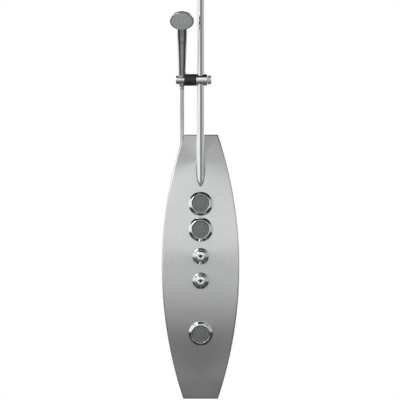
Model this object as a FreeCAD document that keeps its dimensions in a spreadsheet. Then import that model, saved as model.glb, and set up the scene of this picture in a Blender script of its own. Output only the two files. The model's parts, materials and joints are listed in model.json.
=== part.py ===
import FreeCAD, Part
import math
import os
import Sketcher

# Shower panel column: a bowed metal case on the wall with two knobs and three
# swivelling body jets, a riser tube in front of it, and a hand shower in a
# holder that slides on the riser.  X to the right, front to -Y, +Z up.  The
# origin is the middle of the wall bolt pattern, on the wall, at mid height.

doc = FreeCAD.newDocument("shower_panel")
V = FreeCAD.Vector
AXIS_X = V(1, 0, 0)
AXIS_Z = V(0, 0, 1)

# ---------------------------------------------------------------- sizes

sheet = doc.addObject("Spreadsheet::Sheet", "sizes")
sheet_row = 0


class Size:
    """A number together with the expression that drives it."""

    def __init__(self, value, text):
        self.value = float(value)
        self.text = text

    @staticmethod
    def of(number):
        if isinstance(number, Size):
            return number
        return Size(number, "(%r)" % float(number))

    def __add__(self, other):
        other = Size.of(other)
        return Size(self.value + other.value, "(%s + %s)" % (self.text, other.text))

    def __sub__(self, other):
        other = Size.of(other)
        return Size(self.value - other.value, "(%s - %s)" % (self.text, other.text))

    def __mul__(self, other):
        other = Size.of(other)
        return Size(self.value * other.value, "(%s * %s)" % (self.text, other.text))

    def __truediv__(self, other):
        other = Size.of(other)
        return Size(self.value / other.value, "(%s / %s)" % (self.text, other.text))

    def __neg__(self):
        return Size(-self.value, "(0 - %s)" % self.text)

    def __radd__(self, other):
        return Size.of(other) + self

    def __rsub__(self, other):
        return Size.of(other) - self

    def __rmul__(self, other):
        return Size.of(other) * self


def root(size):
    """The square root of a size."""
    return Size(math.sqrt(size.value), "sqrt(%s)" % size.text)


def crown_radius(half_width, height):
    """The radius of a dome of a given half width and height."""
    return (half_width * half_width + height * height) / (2 * height)


def size(alias, value):
    """A named driving dimension, in millimetres or degrees."""
    global sheet_row
    sheet_row += 1
    sheet.set("A%d" % sheet_row, alias)
    sheet.set("B%d" % sheet_row, str(value))
    sheet.setAlias("B%d" % sheet_row, alias)
    return Size(value, "sizes." + alias)


# fits
gap = size("seat_gap", 0.1)
running = size("running_fit", 0.06)
loose = size("loose_fit", 0.3)
edge = size("edge_break", 1)

# case
half_height = size("case_half_height", 423)
mid_half_width = size("case_mid_half_width", 124)
end_half_width = size("case_end_half_width", 56)
mid_depth = size("case_mid_depth", 120)
end_depth = size("case_end_depth", 30)
sheet_gauge = size("case_sheet", 1.5)
edge_radius = size("case_edge_radius", 5)

# riser
riser_r = size("riser_outer_radius", 12.5)
riser_wall = size("riser_wall", 1.5)
pipe_set = size("riser_axis_behind_face", 46.5)
riser_top = size("riser_top_height", 866)
riser_set = size("riser_foot_below_face", 6.6)
cap_plate = size("riser_cap_plate", 3)
cap_spigot = size("riser_cap_spigot", 12)
grommet_wall = size("grommet_wall", 1.7)
grommet_lip = size("grommet_lip", 1.2)
washer_thick = size("riser_washer_thickness", 2)
socket_wall = size("riser_socket_wall", 5.4)
socket_high = size("riser_socket_height", 62)
socket_deep = size("riser_socket_below_foot", 19)
socket_port = size("riser_socket_port_height", 11.5)

# wall fixing
fixing_x = size("fixing_half_spacing_across", 40)
fixing_end = size("fixing_from_case_end", 93)
fixing_hole_r = size("fixing_hole_radius", 3.25)
bracket_half = size("bracket_half_width", 52)
bracket_gauge = size("bracket_gauge", 2.5)
bracket_drop = size("bracket_half_drop", 20)
hook_rise = size("bracket_hook_rise", 12)
rail_gauge = size("rail_gauge", 2)
rail_leg = size("rail_leg", 14)

# knobs and valves
diverter_z = size("diverter_height", 34.4)
mixer_z = size("mixer_height", -44)
knob_r = size("knob_radius", 26.5)
knob_grip_r = size("knob_grip_radius", 21.5)
knob_long = size("knob_length", 49)
knob_lift = size("knob_running_gap", 1.5)
knob_skirt = size("knob_skirt_height", 11)
knob_wall = size("knob_wall", 2.4)
knob_cap_r = size("knob_cap_radius", 5)
spindle_r = size("spindle_radius", 4)
barrel_r = size("valve_barrel_radius", 17)
barrel_wall = size("valve_barrel_wall", 3)
barrel_front = size("valve_barrel_front", 5)
barrel_back = size("valve_barrel_back", 60)
bore_depth = size("valve_bore_depth", 36)
locknut_r = size("locknut_radius", 20.5)
locknut_thick = size("locknut_thickness", 5)
valve_flange_r = size("valve_flange_radius", 24)
flange_thick = size("flange_thickness", 3.5)
gasket_thick = size("gasket_thickness", 2.8)
boss_r = size("port_boss_radius", 9.5)
boss_long = size("port_boss_length", 7)

# supply inlets
inlet_x = size("inlet_half_spacing", 75)
inlet_set = size("inlet_behind_face", 24)
inlet_arm_r = size("inlet_arm_radius", 10)
inlet_turn = size("inlet_elbow_length", 20)
union_hex = size("union_across_flats", 25)
union_hex_long = size("union_hex_length", 10)
thread_r = size("half_inch_thread_radius", 10.48)
thread_long = size("half_inch_thread_length", 14)
check_r = size("check_valve_radius", 7)

# pipes
feed_x = size("pipe_offset", 46)
feed_r = size("pipe_radius", 7)
feed_bend = size("pipe_bend_radius", 15)
manifold_r = size("manifold_radius", 7.5)

# body jets
jet_one_z = size("jet_one_height", 200.8)
jet_two_z = size("jet_two_height", 119.2)
jet_three_z = size("jet_three_height", -212)
jet_r = size("jet_bezel_radius", 39)
jet_high = size("jet_bezel_height", 13)
jet_lip = size("jet_bezel_lip_height", 8.5)
ball_r = size("jet_ball_radius", 28.5)
ball_half = size("jet_ball_half_length", 12)
ball_sink = size("jet_ball_centre_sink", 2)
seat_wall = size("jet_seat_wall", 2.1)
housing_wall = size("jet_housing_wall", 2)
housing_rise = size("jet_housing_rise", 5)
chamber_r = size("jet_chamber_radius", 27)
chamber_wall = size("jet_chamber_wall", 3)
housing_deep = size("jet_housing_depth", 50)
jet_flange_r = size("jet_flange_radius", 37)
pin_r = size("nozzle_pin_radius", 1.3)
pin_high = size("nozzle_pin_height", 1.6)
pin_circle = size("nozzle_circle_step", 8)

# slider and holder
slider_z = size("slider_height", 597.6)
bush_wall = size("slider_bush_wall", 1.8)
slider_r = size("slider_radius", 19)
slider_half = size("slider_left_length", 17.5)
slider_right = size("slider_right_length", 22)
sleeve_end = size("hub_sleeve_end", 13.2)
sleeve_wall = size("hub_sleeve_wall", 2.1)
clamp_r = size("clamp_knob_radius", 14.5)
clamp_long = size("clamp_knob_length", 12)
clamp_screw_r = size("clamp_screw_radius", 3)
pivot_r = size("tilt_pin_radius", 7)
pivot_long = size("tilt_pin_length", 26)
hub_long = size("tilt_hub_length", 34.6)
cup_x = size("holder_cup_offset", 59.5)
cup_r = size("holder_cup_radius", 14)
cup_end = size("holder_cup_end_offset", 79)
cup_bore_r = size("holder_bore_radius", 11.7)
cup_taper = size("holder_bore_taper", 0.066)
cup_slot = size("holder_slot_width", 15.6)
tilt = size("handset_tilt", 18)

# hand shower, measured along its own axis from the holder's centre
nut_top = size("hose_nut_top", 20)
nut_foot = size("hose_nut_foot", 18)
handle_top = size("handle_top", 150)
handle_foot_r = size("handle_foot_radius", 13)
handle_top_r = size("handle_top_radius", 17.5)
neck_thick = size("neck_half_thickness", 12)
head_r = size("head_radius", 38.5)
head_rim = size("head_rim_height", 9)
head_dome = size("head_dome_height", 13)
head_wall = size("head_wall", 2)
head_up = size("head_height", 785)
head_out = size("head_reach", 165)
head_pitch = size("head_face_pitch", 46)
ring_wide = size("spray_ring_width", 4)
plate_thick = size("spray_plate_thickness", 3)

# hose
hose_r = size("hose_radius", 7)
ferrule_r = size("hose_ferrule_radius", 8.6)
ferrule_long = size("hose_ferrule_length", 12)
outlet_x = size("hose_outlet_offset", 40)
outlet_depth = size("hose_outlet_depth", 25)
outlet_r = size("hose_outlet_radius", 8)
outlet_drop = size("hose_outlet_drop", 28.4)
hose_nut_hex = size("hose_nut_across_flats", 24)
hose_nut_long = size("hose_nut_length", 18)
hose_left = size("hose_left_run", 50)
hose_loop_r = size("hose_loop_radius", 66)
hose_loop_z = size("hose_loop_height", -245)

doc.recompute()

# the bow of the face, and the arcs of its sides
bow = mid_depth - end_depth
bow_r = crown_radius(half_height, bow)
side_sag = mid_half_width - end_half_width
side_r = crown_radius(half_height, side_sag)


def face_depth(z):
    """How far the face stands from the wall at a height."""
    return mid_depth - bow_r + root(bow_r * bow_r - z * z)


def face_height(depth):
    """The height at which the face stands that far from the wall."""
    behind = depth - mid_depth + bow_r
    return root(bow_r * bow_r - behind * behind)


jet_z = (jet_one_z, jet_two_z, jet_three_z)
fixing_z = half_height - fixing_end
pipe_plane = mid_depth - pipe_set
inlet_depth = mid_depth - inlet_set
riser_foot = face_height(pipe_plane + riser_r) - riser_set
outlet_foot = diverter_z - outlet_drop


# ---------------------------------------------------------------- helpers


def bind(obj, name, value):
    """Drive one property of an object from the sheet."""
    value = Size.of(value)
    setattr(obj, name, value.value)
    obj.setExpression(name, value.text)


def place(obj, x, y, z, angle=0.0, axis=AXIS_X):
    """Put an object at a point driven from the sheet, turned about an axis."""
    x, y, z = Size.of(x), Size.of(y), Size.of(z)
    obj.Placement = FreeCAD.Placement(V(x.value, y.value, z.value), FreeCAD.Rotation(axis, angle))
    for name, value in (("x", x), ("y", y), ("z", z)):
        obj.setExpression("Placement.Base." + name, value.text)
    return obj


def plane_of(body, role):
    """One of a body's own origin planes."""
    return [f for f in body.Origin.OriginFeatures if f.Role == role][0]


def new_sketch(body, role, offset=None):
    """A sketch on one of the body's own origin planes."""
    sketch = body.newObject("Sketcher::SketchObject", body.Label + "_sketch")
    sketch.AttachmentSupport = [(plane_of(body, role), "")]
    sketch.MapMode = "FlatFace"
    if offset is not None:
        sketch.AttachmentOffset = FreeCAD.Placement(V(0, 0, offset.value), FreeCAD.Rotation())
        sketch.setExpression("AttachmentOffset.Base.z", offset.text)
    return sketch


def arc_centre(p, q, r):
    """Centre of the arc of radius |r| from p to q; r > 0 turns to the left."""
    chord = q - p
    half = chord.Length / 2
    rise = math.sqrt(max(r * r - half * half, 0.0))
    left = V(-chord.y, chord.x, 0).normalize()
    return (p + q) * 0.5 + left * (rise if r > 0 else -rise)


def draw(sketch, points):
    """A closed outline: (x, y) for a straight run, (x, y, r) where an arc starts."""
    spots = [(Size.of(p[0]), Size.of(p[1])) for p in points]
    flat = [V(x.value, y.value, 0) for x, y in spots]
    ends = []
    for i, point in enumerate(points):
        p, q = flat[i], flat[(i + 1) % len(flat)]
        if len(point) == 2:
            ends.append((sketch.addGeometry(Part.LineSegment(p, q)), 1, 2, None))
            continue
        r = Size.of(point[2])
        c = arc_centre(p, q, r.value)
        turn = Part.Circle(c, AXIS_Z, abs(r.value))
        a, b = math.atan2(p.y - c.y, p.x - c.x), math.atan2(q.y - c.y, q.x - c.x)
        if r.value > 0:
            ends.append((sketch.addGeometry(Part.ArcOfCircle(turn, a, b)), 1, 2, r))
        else:
            ends.append((sketch.addGeometry(Part.ArcOfCircle(turn, b, a)), 2, 1, -r))
    for i, (geo, first, last, r) in enumerate(ends):
        after = ends[(i + 1) % len(ends)]
        sketch.addConstraint(Sketcher.Constraint("Coincident", geo, last, after[0], after[1]))
        if r is not None:
            n = sketch.addConstraint(Sketcher.Constraint("Radius", geo, r.value))
            sketch.setExpression("Constraints[%d]" % n, r.text)
        for kind, line, value in (("DistanceX", -2, spots[i][0]), ("DistanceY", -1, spots[i][1])):
            if value.value == 0 and "sizes" not in value.text:
                sketch.addConstraint(Sketcher.Constraint("PointOnObject", geo, first, line))
                continue
            n = sketch.addConstraint(Sketcher.Constraint(kind, -1, 1, geo, first, value.value))
            sketch.setExpression("Constraints[%d]" % n, value.text)
    return sketch


def circles(sketch, spots):
    """Circles (x, y, radius) in a sketch."""
    for x, y, r in spots:
        x, y, r = Size.of(x), Size.of(y), Size.of(r)
        geo = sketch.addGeometry(Part.Circle(V(x.value, y.value, 0), AXIS_Z, r.value))
        n = sketch.addConstraint(Sketcher.Constraint("Radius", geo, r.value))
        sketch.setExpression("Constraints[%d]" % n, r.text)
        for kind, line, value in (("DistanceX", -2, x), ("DistanceY", -1, y)):
            if value.value == 0:
                sketch.addConstraint(Sketcher.Constraint("PointOnObject", geo, 3, line))
                continue
            n = sketch.addConstraint(Sketcher.Constraint(kind, -1, 1, geo, 3, value.value))
            sketch.setExpression("Constraints[%d]" % n, value.text)
    return sketch


def new_body(label):
    body = doc.addObject("PartDesign::Body", label)
    body.Label = label
    return body


def turned(label, section):
    """A turned piece: (radius, height) half section round its own Z axis."""
    body = new_body(label)
    sketch = draw(new_sketch(body, "XZ_Plane"), section)
    turn = body.newObject("PartDesign::Revolution", label + "_turn")
    turn.Profile = sketch
    turn.ReferenceAxis = (sketch, ["V_Axis"])
    turn.Angle = 360
    sketch.Visibility = False
    return body


def padded(label, role, outline, length, midplane=False):
    """A plate or bar: an outline on an origin plane, given a thickness."""
    body = new_body(label)
    sketch = draw(new_sketch(body, role), outline)
    pad = body.newObject("PartDesign::Pad", label + "_pad")
    pad.Profile = sketch
    pad.Midplane = midplane
    bind(pad, "Length", length)
    return body


def rectangle(wide, deep, near):
    """Corners of a rectangle centred on the Y axis, from near to near + deep."""
    return [(-wide / 2, near), (wide / 2, near), (wide / 2, near + deep), (-wide / 2, near + deep)]


def rod(label, r, length, x, y, z, toward="z"):
    """A plain cylinder from a point along +X, +Y, +Z or -Y."""
    obj = doc.addObject("Part::Cylinder", label)
    obj.Label = label
    bind(obj, "Radius", r)
    bind(obj, "Height", length)
    axis, angle = {
        "z": (AXIS_X, 0),
        "x": (V(0, 1, 0), 90),
        "y": (AXIS_X, -90),
        "out": (AXIS_X, 90),
    }[toward]
    return place(obj, x, y, z, angle, axis)


def block(label, x, y, z, lx, ly, lz):
    """A box from its lowest corner."""
    obj = doc.addObject("Part::Box", label)
    obj.Label = label
    bind(obj, "Length", lx)
    bind(obj, "Width", ly)
    bind(obj, "Height", lz)
    return place(obj, x, y, z)


def hexagon(label, across, length, x, y, z):
    """A hexagonal prism along +Z, given across its flats."""
    obj = doc.addObject("Part::Prism", label)
    obj.Label = label
    obj.Polygon = 6
    bind(obj, "Circumradius", across / 2 * (1 / math.cos(math.pi / 6)))
    bind(obj, "Height", length)
    return place(obj, x, y, z)


def fused(label, *pieces):
    obj = doc.addObject("Part::MultiFuse", label)
    obj.Label = label
    obj.Shapes = list(pieces)
    obj.Refine = True
    return obj


def cut(label, base, *tools):
    tool = tools[0] if len(tools) == 1 else fused(label + "_tools", *tools)
    obj = doc.addObject("Part::Cut", label)
    obj.Label = label
    obj.Base = base
    obj.Tool = tool
    obj.Refine = True
    return obj


def common(label, *pieces):
    obj = doc.addObject("Part::MultiCommon", label)
    obj.Label = label
    obj.Shapes = list(pieces)
    obj.Refine = True
    return obj


def group(label, *pieces):
    """Like pieces that share a node."""
    obj = doc.addObject("Part::Compound", label)
    obj.Label = label
    obj.Links = list(pieces)
    return obj


def bow_tool(label, offset):
    """The cylinder that the face bends round, larger or smaller by an offset."""
    return rod(
        label, bow_r + offset, mid_half_width * 4, -2 * mid_half_width, bow_r - mid_depth, 0, "x"
    )


def corner_arcs(points, share=0.45, bend=None):
    """Edges of a route with every corner rounded, and the arcs' radii."""
    edges, radii, at = [], [], points[0]
    for before, corner, after in zip(points, points[1:], points[2:]):
        back, on = (before - corner), (after - corner)
        short = min(back.Length, on.Length)
        half = (math.pi - back.getAngle(on)) / 2
        trim = share * short if bend is None else bend * math.tan(half)
        radii.append(trim / math.tan(half))
        back.normalize()
        on.normalize()
        start, end = corner + back * trim, corner + on * trim
        middle = (back + on).normalize()
        far = radii[-1] / math.cos(half) - radii[-1]
        if (start - at).Length > 1e-6:
            edges.append(Part.LineSegment(at, start).toShape())
        edges.append(Part.Arc(start, corner + middle * far, end).toShape())
        at = end
    edges.append(Part.LineSegment(at, points[-1]).toShape())
    return edges, radii


def tube_along(label, points, r, bend=None):
    """A round bar along a route of straight runs and tangent arcs."""
    edges, radii = corner_arcs(points, bend=bend)
    path = Part.Wire(edges)
    start = (points[1] - points[0]).normalize()
    ring = Part.Wire([Part.Circle(points[0], start, r.value).toShape()])
    obj = doc.addObject("Part::Feature", label)
    obj.Label = label
    obj.Shape = path.makePipeShell([ring], True, False)
    expected = math.pi * r.value**2 * path.Length
    if abs(obj.Shape.Volume / expected - 1) > 0.01:
        raise ValueError("%s: volume %.0f, section times length %.0f" % (label, obj.Shape.Volume, expected))
    return obj, path.Length, radii


def point(x, y, z):
    return V(*[Size.of(v).value for v in (x, y, z)])


kept = []


def keep(obj, label=None):
    """Mark an object as a piece that is written to a file of its own."""
    if label is not None:
        obj.Label = label
    kept.append(obj)
    return obj


# ---------------------------------------------------------------- case


def barrel_outline(inset):
    """The case's outline from the front, moved in by an inset."""
    r = side_r - inset
    tall = half_height - inset
    end = root(r * r - tall * tall) - (side_r - mid_half_width)
    return [(-end, -tall), (end, -tall, r), (end, tall), (-end, tall, r)]


def case_form(label, inset, through):
    """The case's outside, or the space inside it: a bowed front on the barrel outline."""
    length = mid_depth * 2 if through else mid_depth
    body = padded(label, "XZ_Plane", barrel_outline(inset), length, through)
    doc.recompute()
    tall = half_height - inset
    r = bow_r - inset
    end = mid_depth - bow_r + root(r * r - tall * tall)
    over = edge_radius * 2
    profile = draw(
        new_sketch(body, "YZ_Plane"),
        [
            (-end, -tall),
            (-end, -tall - over),
            (-mid_depth - over, -tall - over),
            (-mid_depth - over, tall + over),
            (-end, tall + over),
            (-end, tall, r),
        ],
    )
    front = body.newObject("PartDesign::Pocket", label + "_bow")
    front.Profile = profile
    front.Type = "ThroughAll"
    front.Midplane = True
    doc.recompute()
    if abs(front.Shape.BoundBox.YMin + (mid_depth - inset).value) > 0.05:
        raise ValueError("the bow of %s missed" % label)
    rim = [
        "Edge%d" % (i + 1)
        for i, side in enumerate(front.Shape.Edges)
        if side.BoundBox.YMax < -end.value + 0.01
    ]
    fillet = body.newObject("PartDesign::Fillet", label + "_edge")
    fillet.Base = (front, rim)
    bind(fillet, "Radius", edge_radius - inset)
    doc.recompute()
    return body


def make_case():
    """The sheet case: outside less inside, with its holes for jets, valves, riser and hose."""
    tools = [case_form("case_inside", sheet_gauge, True)]
    for n, z in enumerate(jet_z):
        hole_r = ball_r + loose + seat_wall + loose + housing_wall + loose
        hole = rod("jet_hole_%d" % (n + 1), hole_r, 3 * edge_radius, 0, 0, 0)
        on_face(hole, z, -2 * edge_radius)
        tools.append(hole)
    for name, z in (("diverter", diverter_z), ("mixer", mixer_z)):
        tools.append(rod(name + "_hole", barrel_r + loose, mid_depth / 2, 0, -mid_depth / 2, z, "out"))
        tools[-1].Height = mid_depth.value
        tools[-1].setExpression("Height", (mid_depth / 2 + edge_radius).text)
    tools.append(
        rod(
            "riser_slot",
            riser_r + running + grommet_wall + gap,
            riser_top - riser_foot,
            0,
            -pipe_plane,
            riser_foot - 10,
        )
    )
    notch_in = cup_x - hose_r - sheet_gauge
    tools.append(
        block(
            "hose_notch",
            -mid_half_width,
            -end_depth + sheet_gauge + gap,
            half_height - 60,
            mid_half_width - notch_in,
            end_depth * 2,
            80,
        )
    )
    return cut("panel_shell", case_form("case_outside", Size.of(0), False), *tools)


def on_face(obj, z, lift=None):
    """Stand an object on the bowed face at a height, its Z axis square to the face."""
    lift = Size.of(0) if lift is None else Size.of(lift)
    lean = math.degrees(math.asin(z.value / bow_r.value))
    y = -face_depth(z) - lift * root(bow_r * bow_r - z * z) / bow_r
    return place(obj, 0, y, z + lift * z / bow_r, 90 - lean)


keep(make_case())

inner_space = padded("inner_space", "XZ_Plane", barrel_outline(sheet_gauge + gap), mid_depth)
outer_bow = bow_tool("outer_bow", gap)
inner_bow = bow_tool("inner_bow", -sheet_gauge - gap)

# ---------------------------------------------------------------- wall fixing


def make_fixing(name, z):
    """A wall bracket with a hooked lip, and the rail of the case that hangs on it."""
    low, high = z - bracket_drop, z + bracket_drop
    step = rail_gauge + bracket_gauge + 2 * loose
    lip = high + hook_rise
    outline = [
        (0, low),
        (0, high),
        (-step, high + bracket_gauge),
        (-step, lip),
        (-step - bracket_gauge, lip),
        (-step - bracket_gauge, high + bracket_gauge - loose),
        (-bracket_gauge, high - loose * 2),
        (-bracket_gauge, low),
    ]
    plate = padded(name + "_bracket_form", "YZ_Plane", outline, 2 * bracket_half, True)
    holes = []
    for side in (-1, 1):
        hole = rod("%s_hole_%d" % (name, side + 2), fixing_hole_r, 30, fixing_x * side, 10, z, "out")
        holes.append(hole)
    keep(cut(name + "_wall_bracket", plate, *holes))
    front = -step - bracket_gauge - loose
    back = -step + loose
    top = lip + loose
    rail = padded(
        name + "_rail_form",
        "YZ_Plane",
        [
            (front - rail_gauge, top - rail_leg),
            (front, top - rail_leg),
            (front, top),
            (back, top),
            (back, top - rail_leg / 2),
            (back + rail_gauge, top - rail_leg / 2),
            (back + rail_gauge, top + rail_gauge),
            (front - rail_gauge, top + rail_gauge),
        ],
        3 * mid_half_width,
        True,
    )
    keep(common(name + "_hanger_rail", rail, inner_space))


make_fixing("upper", fixing_z)
make_fixing("lower", -fixing_z)

# ---------------------------------------------------------------- riser

riser = turned(
    "riser_tube",
    [
        (riser_r - riser_wall, riser_foot),
        (riser_r, riser_foot),
        (riser_r, riser_top),
        (riser_r - riser_wall, riser_top),
    ],
)
keep(place(riser, 0, -pipe_plane, 0))

end_cap = turned(
    "riser_end_cap",
    [
        (0, riser_top - cap_spigot),
        (riser_r - riser_wall - gap, riser_top - cap_spigot),
        (riser_r - riser_wall - gap, riser_top + gap),
        (riser_r, riser_top + gap),
        (riser_r, riser_top + cap_plate - 1, 1),
        (riser_r - 1, riser_top + cap_plate),
        (0, riser_top + cap_plate),
    ],
)
keep(place(end_cap, 0, -pipe_plane, 0))


def make_riser_foot():
    """The socket that holds the riser behind the face, its washer and the grommet."""
    floor = riser_foot - socket_deep
    port_z = floor + socket_port
    wall = socket_wall
    outer = rod("socket_form", riser_r + wall, socket_high, 0, -pipe_plane, floor)
    boss = rod(
        "socket_boss", boss_r, riser_r + wall + boss_long, -riser_r - wall - boss_long, -pipe_plane, port_z, "x"
    )
    solid = fused("socket_solid", outer, boss)
    behind = common("socket_behind", solid, bow_tool("socket_bow", -sheet_gauge - grommet_lip - gap * 2))
    socket = cut(
        "riser_socket",
        behind,
        rod("socket_bore", riser_r + gap, 80, 0, -pipe_plane, riser_foot - washer_thick - gap * 2),
        rod("socket_chamber", riser_r - riser_wall - 1, 30, 0, -pipe_plane, floor + 5),
        rod("socket_port", feed_r - 1.5, 40, -40, -pipe_plane, port_z, "x"),
    )
    keep(socket)
    washer = turned(
        "riser_washer",
        [
            (riser_r - riser_wall - 1, 0),
            (riser_r - gap, 0),
            (riser_r - gap, washer_thick),
            (riser_r - riser_wall - 1, washer_thick),
        ],
    )
    keep(place(washer, 0, -pipe_plane, riser_foot - washer_thick - gap))
    long = riser_top - riser_foot
    ring = cut(
        "grommet_ring",
        rod("grommet_out", riser_r + running + grommet_wall, long, 0, -pipe_plane, riser_foot - 15),
        rod("grommet_in", riser_r + running, long + 20, 0, -pipe_plane, riser_foot - 25),
    )
    band = cut(
        "grommet_band",
        bow_tool("grommet_band_out", grommet_lip),
        bow_tool("grommet_band_in", -sheet_gauge - grommet_lip),
    )
    keep(common("riser_grommet", ring, band))
    return port_z


port_z = make_riser_foot()

# ---------------------------------------------------------------- valves


def valve_form(name, z, *extra):
    """Brass barrel with its rear flange, before its bores are cut."""
    barrel = rod(name + "_barrel", barrel_r, barrel_front + barrel_back, 0, barrel_back - mid_depth, z, "out")
    reach = gasket_thick + sheet_gauge + gap * 2
    flange = rod(name + "_flange", valve_flange_r, flange_thick, 0, reach + flange_thick - mid_depth, z, "out")
    return fused(name + "_form", barrel, flange, *extra)


def cartridge_bore(name, z):
    return rod(
        name + "_bore", barrel_r - barrel_wall, bore_depth + 20, 0, bore_depth - mid_depth, z, "out"
    )


def make_valve_trim(name, z):
    """Cartridge, spindle, locknut, gasket ring and knob of one valve."""
    deep = bore_depth - gap
    spindle_foot = -bore_depth + 8
    front = knob_lift + knob_skirt
    cartridge = turned(
        name + "_cartridge",
        [
            (0, -deep),
            (barrel_r - barrel_wall - gap, -deep),
            (barrel_r - barrel_wall - gap, barrel_front - 1),
            (spindle_r + 4, barrel_front - 1),
            (spindle_r + 4, barrel_front + 3),
            (spindle_r + running, barrel_front + 3),
            (spindle_r + running, spindle_foot),
            (0, spindle_foot),
        ],
    )
    keep(place(cartridge, 0, -mid_depth, z, 90))
    spindle = turned(
        name + "_spindle",
        [
            (0, spindle_foot + gap),
            (spindle_r, spindle_foot + gap),
            (spindle_r, knob_long - 14),
            (spindle_r - 1, knob_long - 13),
            (0, knob_long - 13),
        ],
    )
    keep(place(spindle, 0, -mid_depth, z, 90))
    nut = turned(
        name + "_locknut_form",
        [
            (barrel_r + gap, -4),
            (locknut_r, -4),
            (locknut_r, locknut_thick - 1),
            (locknut_r - 1, locknut_thick),
            (barrel_r + gap, locknut_thick),
        ],
    )
    place(nut, 0, -mid_depth, z, 90)
    keep(cut(name + "_locknut", nut, outer_bow))
    gasket = turned(
        name + "_gasket_form",
        [
            (barrel_r + gap, -sheet_gauge - gasket_thick - gap),
            (valve_flange_r, -sheet_gauge - gasket_thick - gap),
            (valve_flange_r, 2),
            (barrel_r + gap, 2),
        ],
    )
    place(gasket, 0, -mid_depth, z, 90)
    inside = knob_r - knob_wall
    crown = knob_long - 9
    knob = turned(
        name + "_knob",
        [
            (knob_r - 1, knob_lift),
            (knob_r, knob_lift + 1),
            (knob_r, knob_lift + knob_skirt - 4, 6),
            (knob_grip_r, knob_lift + knob_skirt + 2),
            (knob_grip_r - 1.5, crown - 6, 14),
            (knob_cap_r + 2, knob_long, 60),
            (knob_cap_r, knob_long + 0.2),
            (knob_cap_r, knob_long - 3),
            (0, knob_long - 3),
            (0, knob_long - 12.8),
            (spindle_r + gap, knob_long - 12.8),
            (spindle_r + gap, front),
            (inside - 2, front),
            (inside, front - 2),
            (inside, knob_lift),
        ],
    )
    keep(place(knob, 0, -mid_depth, z, 90))
    cap = turned(
        name + "_knob_cap",
        [
            (0, knob_long - 2.9),
            (knob_cap_r - gap, knob_long - 2.9),
            (knob_cap_r - gap, knob_long - 0.6, crown_radius(knob_cap_r - gap, Size.of(0.9))),
            (0, knob_long + 0.3),
        ],
    )
    keep(place(cap, 0, -mid_depth, z, 90))
    return common(name + "_gasket", gasket, inner_bow)


gaskets = [make_valve_trim("diverter", diverter_z), make_valve_trim("mixer", mixer_z)]
keep(group("valve_gaskets", *gaskets))


def make_valve_bodies():
    """Thermostatic mixer below, diverter above, and the pipe between them."""
    y = -pipe_plane
    arm = rod("inlet_arm", inlet_arm_r, 2 * inlet_x, -inlet_x, -inlet_depth, mixer_z, "x")
    drops = []
    for side in (-1, 1):
        x = inlet_x * side
        corner = doc.addObject("Part::Sphere", "inlet_corner_%d" % (side + 2))
        bind(corner, "Radius", inlet_arm_r)
        place(corner, x, -inlet_depth, mixer_z)
        drops.append(corner)
        drops.append(rod("inlet_turn_%d" % (side + 2), inlet_arm_r, inlet_turn, x, -inlet_depth, mixer_z, "y"))
    top = rod("mixer_top_boss", boss_r, barrel_r + 3, 0, y, mixer_z)
    mixer = valve_form("mixer", mixer_z, arm, top, *drops)
    link_r = feed_r
    link_low = mixer_z + barrel_r - 2
    link_high = diverter_z - barrel_r + 2
    keep(
        cut(
            "mixer_body",
            mixer,
            cartridge_bore("mixer", mixer_z),
            rod("mixer_link_seat", link_r + gap, 20, 0, y, link_low - gap),
        )
    )
    left = rod("diverter_left", boss_r, barrel_r + boss_long, -barrel_r - boss_long, y, diverter_z, "x")
    right = rod("diverter_right", boss_r, barrel_r + boss_long, 0, y, diverter_z, "x")
    low = rod("diverter_low", boss_r, barrel_r + 3, 0, y, diverter_z - barrel_r - 3)
    back = rod("diverter_back", boss_r + 1, boss_long, 0, barrel_back - mid_depth - 1, diverter_z, "y")
    diverter = valve_form("diverter", diverter_z, left, right, low, back)
    keep(
        cut(
            "diverter_body",
            diverter,
            cartridge_bore("diverter", diverter_z),
            rod("diverter_link_seat", link_r + gap, 20, 0, y, link_high + gap - 20),
        )
    )
    keep(rod("link_pipe", link_r, link_high - link_low, 0, y, link_low))


make_valve_bodies()


def make_unions():
    """Hot and cold inlet unions, each with a check valve inside."""
    valves = []
    for name, side in (("hot", -1), ("cold", 1)):
        x = inlet_x * side
        start = inlet_turn + gap - inlet_depth
        shoulder = start + union_hex_long
        hexagonal = hexagon(name + "_hex", union_hex, union_hex_long, x, start, mixer_z)
        place(hexagonal, x, start, mixer_z, -90)
        tail = rod(name + "_tail", thread_r, thread_long + edge, x, shoulder - edge, mixer_z, "y")
        bore = rod(name + "_union_bore", check_r + gap, thread_long * 3, x, start + 4 * edge, mixer_z, "y")
        keep(cut(name + "_inlet_union", fused(name + "_union_form", hexagonal, tail), bore))
        valves.append(
            rod(name + "_check_valve", check_r, check_r * 2, x, start + 4 * edge + gap, mixer_z, "y")
        )
    keep(group("check_valves", *valves))


make_unions()

# ---------------------------------------------------------------- body jets


def jet_port(z):
    """Depth along a jet's axis, and height, at which its port meets the pipe plane."""
    cosine = root(bow_r * bow_r - z * z) / bow_r
    deep = (face_depth(z) - pipe_plane) / cosine
    return deep, z - deep * z / bow_r


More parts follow.
